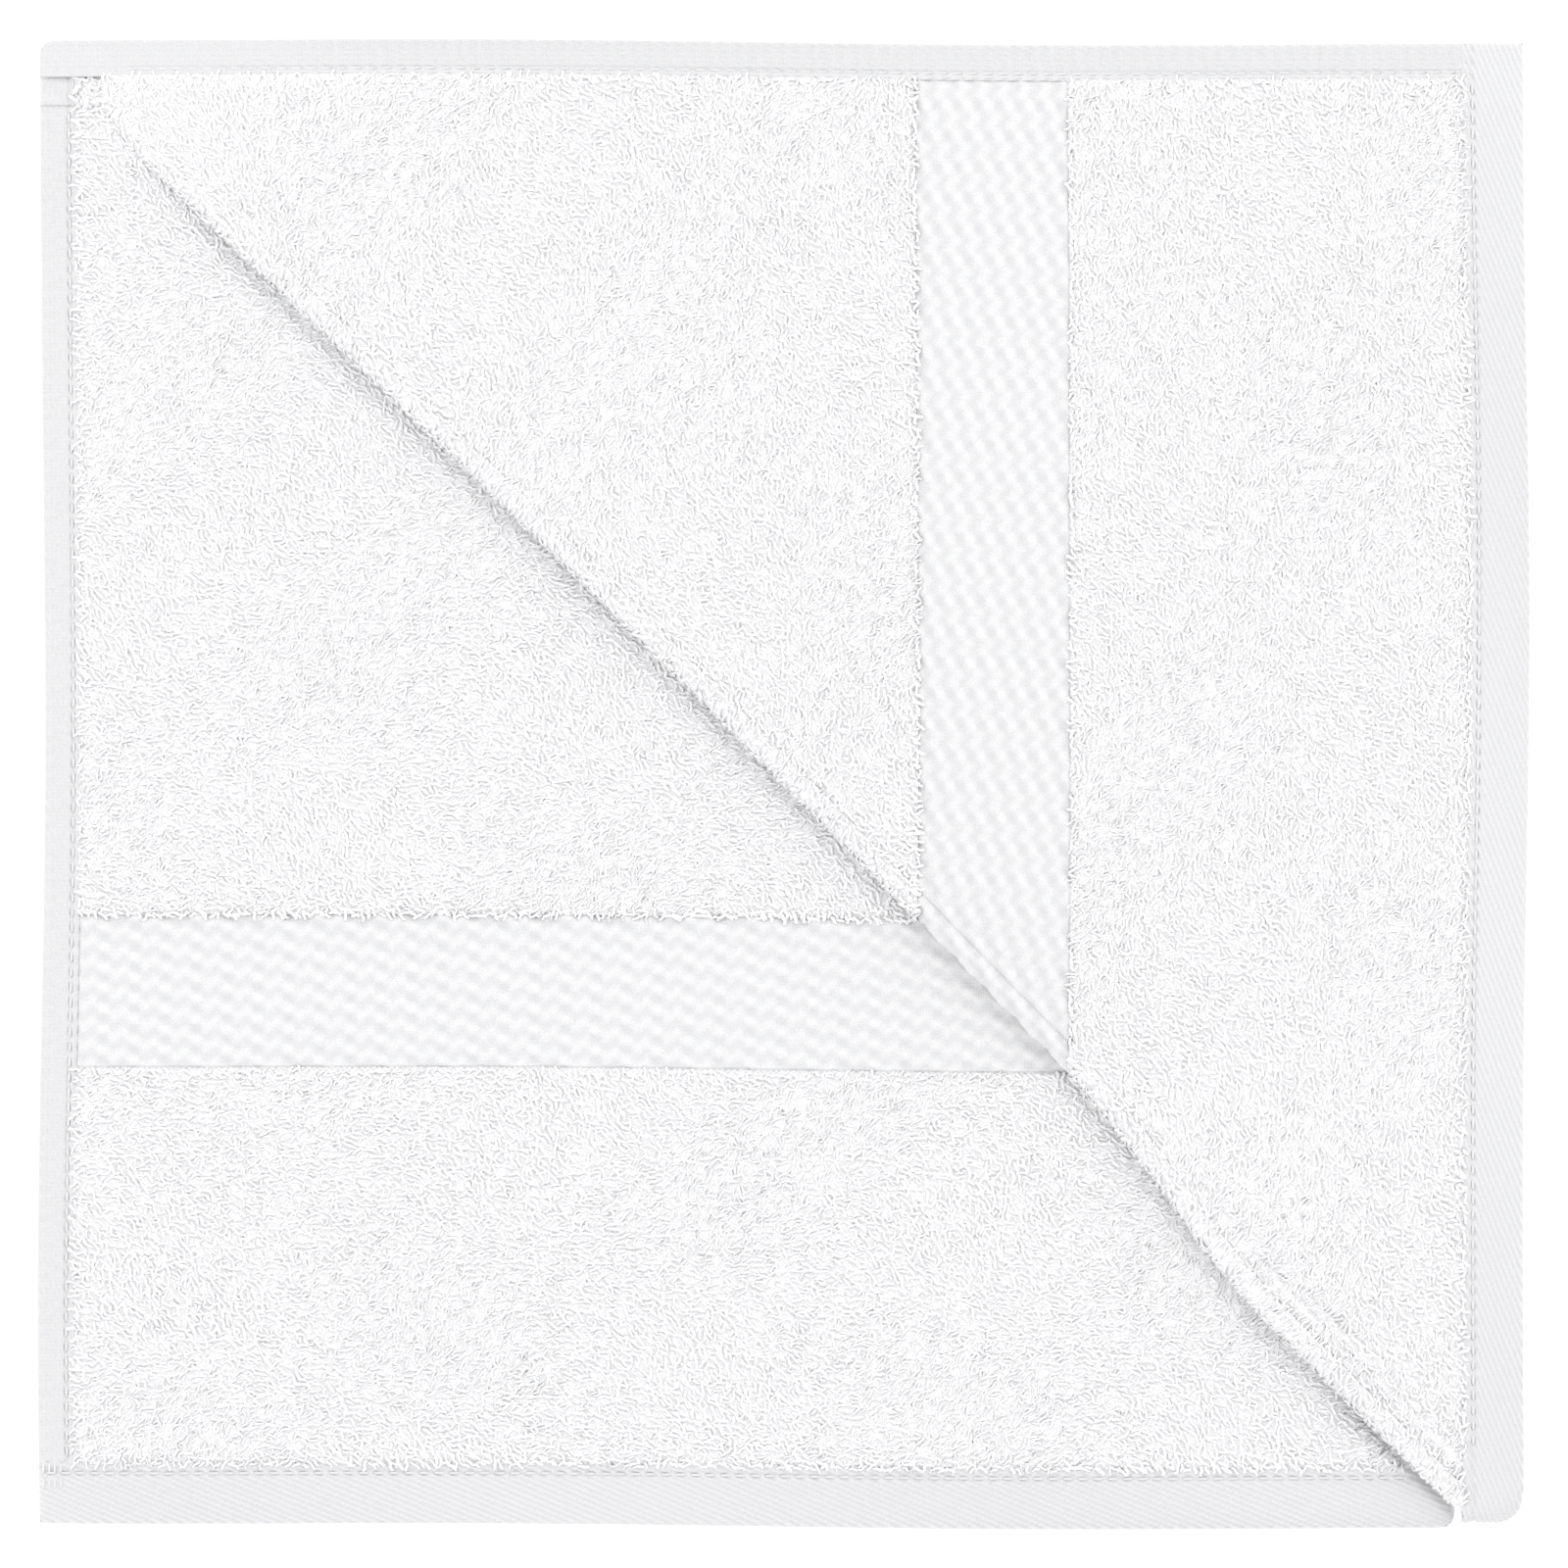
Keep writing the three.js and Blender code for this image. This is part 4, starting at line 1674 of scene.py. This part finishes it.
    def _end_stitches(self, lay: FlatLay) -> bpy.types.Object:
        """The end hem's seam, and the tack at its left end across the side hem.

        Args:
            lay: How the ply lies.

        Returns:
            The stitches, as one piece.
        """
        seam = CUT.end_hem - SEAM_INSET
        along = np.arange(CUT.left + 3 * MM, self.hem_right - 12 * MM, STITCH_PITCH)
        line = stitches("end hem seam", lay, along, seam, STITCH_HEIGHT, turned=False)
        across = np.array([seam - 2.5 * MM, seam + 1.2 * MM])
        tacks = [
            stitches(f"tack {n}", lay, across, CUT.left + at * MM, STITCH_HEIGHT + 0.3 * MM, turned=True)
            for n, at in enumerate((1.2, 2.6, 4.0, 5.4))
        ]
        return joined("top_ply_end_hem_thread", [line, *tacks])

    @staticmethod
    def _side_stitches(lay: FlatLay) -> bpy.types.Object:
        """The side hem's seam.

        Args:
            lay: How the ply lies.

        Returns:
            The stitches.
        """
        along = np.arange(CUT.end_hem + 3 * MM, CUT.wrap_start - 2 * MM, STITCH_PITCH)
        seam = CUT.side_hem - SIDE_SEAM_INSET
        return stitches("top ply side hem thread", lay, along, seam, STITCH_HEIGHT, turned=True)

    def _loops(self, lay: FlatLay, near: float, far: float, seed: int) -> list[bpy.types.Object]:
        """Loops on what shows of a zone, in pieces of about a third of the width each.

        Args:
            lay: How the ply lies.
            near: The zone's near end.
            far: Its far end.
            seed: The first piece's seed.

        Returns:
            The pieces of pile.
        """

        def shown(x: Array, y: Array) -> Array:
            """True up to just under the roll."""
            return CUT.reach(x, y) < 3 * MM

        marks = (CUT.side_hem + 0.2 * MM, -60 * MM, 50 * MM, self.right)
        made = []
        for number, (low, high) in enumerate(zip(marks[:-1], marks[1:], strict=True), start=seed):
            if CUT.reach(np.array(low), np.array(near)) < 0.0:
                area = (low, high, near, far)
                name = f"top ply loops {number}"
                pile = FINE_PILE.grow(name, lay, area, shown, GROUND_HALF, Face.UPPER, number)
                made.append(self.finished(pile, YARN, Body.UPPER))
        return made

    def _side_fold(self) -> tuple[bpy.types.Object, bpy.types.Object]:
        """The lengthwise fold between plies 7 and 8, and its loops.

        Returns:
            The fold and its loops.
        """
        length = CUT.wrap_start - self.fold_near
        lay = StripLay(CUT.level(7) + HALF_GAP, CUT.wrap_start, -1.0, (("flat", length),))
        low, high = lay.flat_width() - 2 * MM, lay.flat_width() + math.pi * lay.half_gap + 2 * MM
        x, y = np.meshgrid(spread(low, high, 0.6 * MM), spread(0.0, length, 3 * MM))
        body = slab("side fold", lay, x, y, np.full_like(x, GROUND_HALF), np.full_like(x, -1.2 * MM))
        area = (low, high, 0.0, length)
        loops = EDGE_PILE.grow("side fold loops", lay, area, everywhere, GROUND_HALF, Face.UPPER, 70)
        return body, loops


def side_hem_half(length: Array, width: Array) -> Array:
    """Half the thickness of a side hem: padded at its edge, pinched at its seam, with faint ribs along it.

    Args:
        length: Places along the hem.
        width: Places across it, from its outer edge.

    Returns:
        Half the thickness at each place.
    """
    inner = CUT.side_hem - CUT.left
    ribs = 0.06 * MM * np.sin(TAU * width / (1.5 * MM))
    bead = 0.22 * MM * np.exp(-(((width - inner + 0.5 * MM) / (0.5 * MM)) ** 2))
    return HEM.half(length, width, 0.0, inner + 2 * MM, inner - SIDE_SEAM_INSET) * 0.96 + ribs + bead


@dataclass
class TurnedPly(SubAssembly):
    """Ply 8: what lies flat beyond the diagonal, the roll along it, and the corner turned back on top."""

    right: float = 158.2 * MM
    bodies: tuple[Body, Body] = (Body.UPPER, Body.FLAP)
    roll_right: float = 161.5 * MM
    roll_low: float = 31.0 * MM
    roll_high: float = 32.7 * MM

    def build(self) -> None:
        """Builds the zones of the cloth, each in three parts: below, on the roll and on top."""
        lay = TurnedLay()
        hems = self._side_hem(TurnedLay(rolled=False))
        far = CUT.wrap_start - 0.6 * MM
        nodes = ("ply_8_terry", "flap_fold_roll", "flap_terry")
        self._zone(lay, "terry", (CUT.border_far, far), nodes, 80, hems)
        nodes = ("ply_8_end_terry", "", "flap_end_terry")
        self._zone(lay, "end terry", (CUT.end_hem, CUT.border_near), nodes, 90, [])
        self._border(lay)

    def _zone(
        self,
        lay: TurnedLay,
        name: str,
        ends: tuple[float, float],
        nodes: tuple[str, str, str],
        seed: int,
        hems: list[bpy.types.Object],
    ) -> None:
        """One zone of terry: its ground in three parts and the loops on both faces.

        Args:
            lay: The cloth's lay.
            name: The zone's name.
            ends: Its least and most y in the cloth.
            nodes: The nodes that its three parts stand for, or "" for a part that stands for none.
            seed: The random seed.
            hems: The hem's pieces that go with the turned-back part.
        """
        thick = GROUND_HALF
        hem = CUT.side_hem + 0.2 * MM

        def on_flap(x: Array, y: Array) -> Array:
            """True on the turned-back corner."""
            return (CUT.reach(x, y) < -ROLL_EDGE) & (x > hem)

        def on_roll(x: Array, y: Array) -> Array:
            """True on the roll, short of the near corner."""
            return (np.abs(CUT.reach(x, y)) <= ROLL_EDGE) & (x > hem) & (x < self.roll_right)

        def on_ply(x: Array, y: Array) -> Array:
            """True beyond the roll."""
            return (CUT.reach(x, y) > ROLL_EDGE) & (x < self.right)

        below, roll, above = self._parts(name, lay, ends, 3 * MM, lambda x, y: np.full_like(x, thick))
        self.finished(below, GROUND, Body.UPPER, nodes[0])
        self.bending(roll, GROUND, self.bodies, self.roll_low, self.roll_high, *filter(None, nodes[1:2]))
        self.finished(above, GROUND, Body.FLAP, nodes[2])
        top = []
        for n, part in enumerate(self._slices(*ends)):
            area = (CUT.left, CUT.flap_right, *part)
            label = f"turned back {name} loops {n + 1}"
            loops = FINE_PILE.grow(label, lay, area, on_flap, thick, Face.UNDER, seed + n)
            top.append(self.finished(loops, YARN, Body.FLAP))
        area = (CUT.left, CUT.flap_right, *ends)
        rolled = FINE_PILE.grow(f"roll {name} loops", lay, area, on_roll, thick, Face.UNDER, seed + 6)
        self.bending(rolled, YARN, self.bodies, self.roll_low, self.roll_high)
        hidden = PLAIN_PILE.grow(f"covered {name} loops", lay, area, on_ply, thick, Face.UPPER, seed + 7)
        self.finished(hidden, YARN, Body.UPPER)
        label = f"turned back {name} inner loops"
        inside = PLAIN_PILE.grow(label, lay, area, on_flap, thick, Face.UPPER, seed + 8)
        self.finished(inside, YARN, Body.FLAP)
        self._declare(below, ends, [hidden], past=True)
        self._declare(above, ends, [*top, inside, *hems], past=False)

    def _declare(
        self, piece: bpy.types.Object, ends: tuple[float, float], others: list[bpy.types.Object], past: bool
    ) -> None:
        """Works out the area and widest width of one flat part of a zone, whose cut is a triangle or a
        trapezium, and keeps neither.

        Args:
            piece: The part. Not used.
            ends: The zone's least and most y.
            others: The pieces that go with it. Not used.
            past: True for the part beyond the roll, False for the turned-back one.
        """
        edge = past_diagonal(ROLL_EDGE if past else -ROLL_EDGE)

        def widths(y: Array) -> Array:
            """The part's width at each y."""
            return np.maximum(self.right - edge(y) if past else edge(y) - CUT.side_hem, 0.0)

        length = ends[1] - ends[0]
        area = float(widths(np.linspace(*ends, 400)).mean() * length)
        width = float(widths(np.array(ends)).max())

    @staticmethod
    def _slices(near: float, far: float) -> list[tuple[float, float]]:
        """Splits a zone along its length into parts of at most 52 mm."""
        marks = spread(near, far, 52 * MM)
        return list(zip(marks[:-1], marks[1:], strict=True))

    def _parts(
        self, name: str, lay: TurnedLay, ends: tuple[float, float], step: float, half: Shape
    ) -> tuple[bpy.types.Object, ...]:
        """The three closed slabs of a zone: beyond the diagonal, round the roll, and turned back.

        Args:
            name: The zone's name.
            lay: The cloth's lay.
            ends: The zone's least and most y in the cloth.
            step: Distance between grid points.
            half: Half the cloth's thickness, as a function of x and y.

        Returns:
            The three pieces, from the bottom up.
        """
        near, far = ends
        low, high = past_diagonal(-ROLL_EDGE), past_diagonal(ROLL_EDGE)
        start = max(near, CUT.left + CUT.far - self.right + math.sqrt(2.0) * ROLL_EDGE + 0.5 * MM)
        columns = int((self.right - high(np.array(far))) / step) + 2
        beyond = ruled(spread(start, far, step), high, always(self.right), columns)
        roll = ruled(spread(near, far, min(step, 1.2 * MM)), low, high, 25)
        end = min(far, low(np.array(CUT.side_hem)) - 0.5 * MM)
        columns = max(int((low(np.array(near)) - CUT.side_hem) / step) + 2, int((far - near) / step) // 8)
        back = ruled(spread(near, end, step), always(CUT.side_hem), low, columns)
        made = []
        for part, (x, y) in (("covered", beyond), ("roll", roll), ("turned back", back)):
            thick = half(x, y)
            made.append(slab(f"{part} {name}", lay, x, y, thick, -thick))
        return tuple(made)

    def _border(self, lay: TurnedLay) -> None:
        """The border, with the roll's own creases running along the fold.

        Args:
            lay: How the turned-back ply lies.
        """

        def half(x: Array, y: Array) -> Array:
            """The lozenges, and ridges parallel to the diagonal on the roll.

            Args:
                x: Places across the cloth, in metres.
                y: Places along it.

            Returns:
                Half the thickness at each place.
            """
            reach = CUT.reach(x, y)
            fading = np.exp(-(((reach + 7 * MM) / (7 * MM)) ** 2))
            crease = 0.42 * MM * np.cos(TAU * (reach + 6 * MM) / (2.9 * MM)) * fading
            return RELIEF.height(x, y) + crease

        ends = (CUT.border_near, CUT.border_far)
        below, roll, above = self._parts("border", lay, ends, RELIEF.step, half)
        self.finished(below, FIGURED, Body.UPPER, "ply_8_border")
        self.bending(roll, FIGURED, self.bodies, self.roll_low, self.roll_high)
        self.finished(above, FIGURED, Body.FLAP, "flap_border")
        self._declare(below, ends, [], past=True)
        self._declare(above, ends, [], past=False)

    def _side_hem(self, lay: TurnedLay) -> list[bpy.types.Object]:
        """The side hem of the turned-back corner, which lies along the far edge, and its seam.

        Args:
            lay: How the turned-back ply lies.

        Returns:
            The hem and its stitches.
        """
        x = spread(CUT.left, CUT.side_hem + 0.5 * MM, 0.4 * MM)
        end = CUT.far - corner_drop(x, CUT.left, 3.6 * MM)
        y, x = ruled(x, always(CUT.end_hem - 1 * MM), lambda _: end, 460)
        half = np.maximum(side_hem_half(y, x - CUT.left) * rounded(y, -1.0, CUT.far, HEM.edge), LEAST_HALF)
        hem = self.finished(slab("far hem", lay, x, y, half, -half), RIBBED, Body.FLAP, "flap_side_hem")
        along = np.arange(CUT.end_hem + 3 * MM, 156 * MM, STITCH_PITCH)
        seam = CUT.side_hem - SIDE_SEAM_INSET
        thread = stitches("far hem thread", lay, along, seam, -STITCH_HEIGHT, turned=True)
        self.finished(thread, THREAD, Body.FLAP, "flap_side_hem_thread")
        return [hem, thread]


@dataclass
class RightHem(SubAssembly):
    """The turned-back end hem, down the right side and under to ply 7 at the near corner."""

    end: float = 374 * MM
    held: tuple[float, float, float] = (0.0, -177.5 * MM, 26.5 * MM)
    free: tuple[float, float, float] = (0.0, -158.0 * MM, 32.4 * MM)

    def build(self) -> None:
        """Builds the hem as one piece, which is attached to no body, and its stitches, which ride on the
        flap.
        """
        lay = ColumnLay()
        hem = self._band(lay)
        self.wardrobe.dress(hem, TWILL)
        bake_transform(hem)
        self._kept(hem, ("flap_end_hem", "hem_turn"))
        along = np.arange(11 * MM, CUT.far - self.free[1] - 1 * MM, STITCH_PITCH)
        seam = CUT.end_hem - CUT.near - SEAM_INSET
        thread = stitches("right hem thread", lay, along, seam, STITCH_HEIGHT, turned=False)
        self.finished(thread, THREAD, Body.FLAP, "flap_end_hem_thread")

    def _band(self, lay: ColumnLay) -> bpy.types.Object:
        """The hem, padded and pinched at its seam.

        Args:
            lay: How the hem lies.

        Returns:
            The piece.
        """
        width = CUT.end_hem - CUT.near
        x, y = np.meshgrid(spread(0.0, self.end, 0.6 * MM), spread(0.0, width + 0.4 * MM, 0.46 * MM))
        half = HEM.half(x, y, 0.0, width + 1.6 * MM, width - SEAM_INSET)
        half = half * rounded(x, 0.0, 1.0, HEM.edge)
        bead = 0.25 * MM * np.exp(-(((y - width + 1.0 * MM) / (0.6 * MM)) ** 2))
        half = np.maximum(half + bead, LEAST_HALF)
        return slab("right hem", lay, x, y, half, -half)


# ------------------------------------------------------------------------------
# Studio


@dataclass
class Studio:
    """A white floor, soft light from the far right, and a camera straight above."""

    height: float = 4.0
    field_width: float = 0.376
    key_power: float = 4.0
    fill: float = 1.09

    def build(self) -> None:
        """Builds the floor, the world, the lights and the camera."""
        self._floor()
        self._world()
        self._lamp("key", (0.5, 0.9, 1.7), self.key_power, 0.9, (1.0, 0.995, 0.985))
        self._lamp("left", (-1.2, 0.4, 1.5), 0.7 * self.key_power, 1.2, (1.0, 1.0, 1.0))
        self._camera()
        bpy.context.scene.view_settings.view_transform = "Standard"
        bpy.context.scene.view_settings.look = "None"

    @staticmethod
    def _floor() -> None:
        """A wide white plane at the floor's level."""
        points = np.array([(-3.0, -3.0, 0.0), (3.0, -3.0, 0.0), (3.0, 3.0, 0.0), (-3.0, 3.0, 0.0)])
        floor = make_object("floor", points, np.array([[0, 1, 2, 3]]))
        maker = NodeMaker("white floor")
        maker.shader.inputs["Base Color"].default_value = (0.5, 0.5, 0.5, 1.0)
        maker.shader.inputs["Roughness"].default_value = 0.9
        maker.shader.inputs["Emission Color"].default_value = (1.0, 1.0, 1.0, 1.0)
        maker.shader.inputs["Emission Strength"].default_value = 0.75
        floor.data.materials.append(maker.material)

    def _world(self) -> None:
        """An even, slightly cool white surround."""
        world = bpy.data.worlds.new("studio")
        world.use_nodes = True
        background = world.node_tree.nodes["Background"]
        background.inputs["Color"].default_value = (0.985, 0.985, 1.0, 1.0)
        background.inputs["Strength"].default_value = self.fill
        bpy.context.scene.world = world

    @staticmethod
    def _lamp(name: str, place: tuple[float, float, float], power: float, size: float, colour: tuple) -> None:
        """A square soft lamp that points at the towel.

        Args:
            name: The lamp's name.
            place: Where it hangs, in metres.
            power: Its power in watts.
            size: Its side in metres.
            colour: Its colour.
        """
        lamp = bpy.data.lights.new(name, "AREA")
        lamp.energy = power
        lamp.size = size
        lamp.color = colour
        thing = bpy.data.objects.new(name, lamp)
        thing.location = place
        thing.rotation_euler = (-Vector(place)).to_track_quat("-Z", "Y").to_euler()
        bpy.context.scene.collection.objects.link(thing)

    def _camera(self) -> None:
        """A long lens straight above, as wide as the field at the towel's top."""
        camera = bpy.data.cameras.new("above")
        camera.sensor_width = 36.0
        camera.lens = 36.0 * (self.height - CUT.level(9)) / self.field_width
        camera.clip_end = 20.0
        thing = bpy.data.objects.new("above", camera)
        thing.location = (0.00035, 0.0, self.height)
        bpy.context.scene.collection.objects.link(thing)
        bpy.context.scene.camera = thing


def main() -> None:
    """Builds the towel and the studio."""
    logging.basicConfig(level=logging.INFO, format="%(name)s: %(message)s")
    wardrobe = Wardrobe()
    total = 0
    for part in (
        LowerHalf(wardrobe),
        FarWraps(wardrobe),
        MiddlePlies(wardrobe),
        TopPly(wardrobe),
        TurnedPly(wardrobe),
        RightHem(wardrobe),
    ):
        part.build()
        faces = sum(len(p.data.polygons) for p in part.made)
        LOG.info("%s: %d pieces, %d faces", type(part).__name__, len(part.made), faces)
        total += faces
    LOG.info("the towel: %d faces", total)
    Studio().build()


if __name__ == "__main__":
    main()
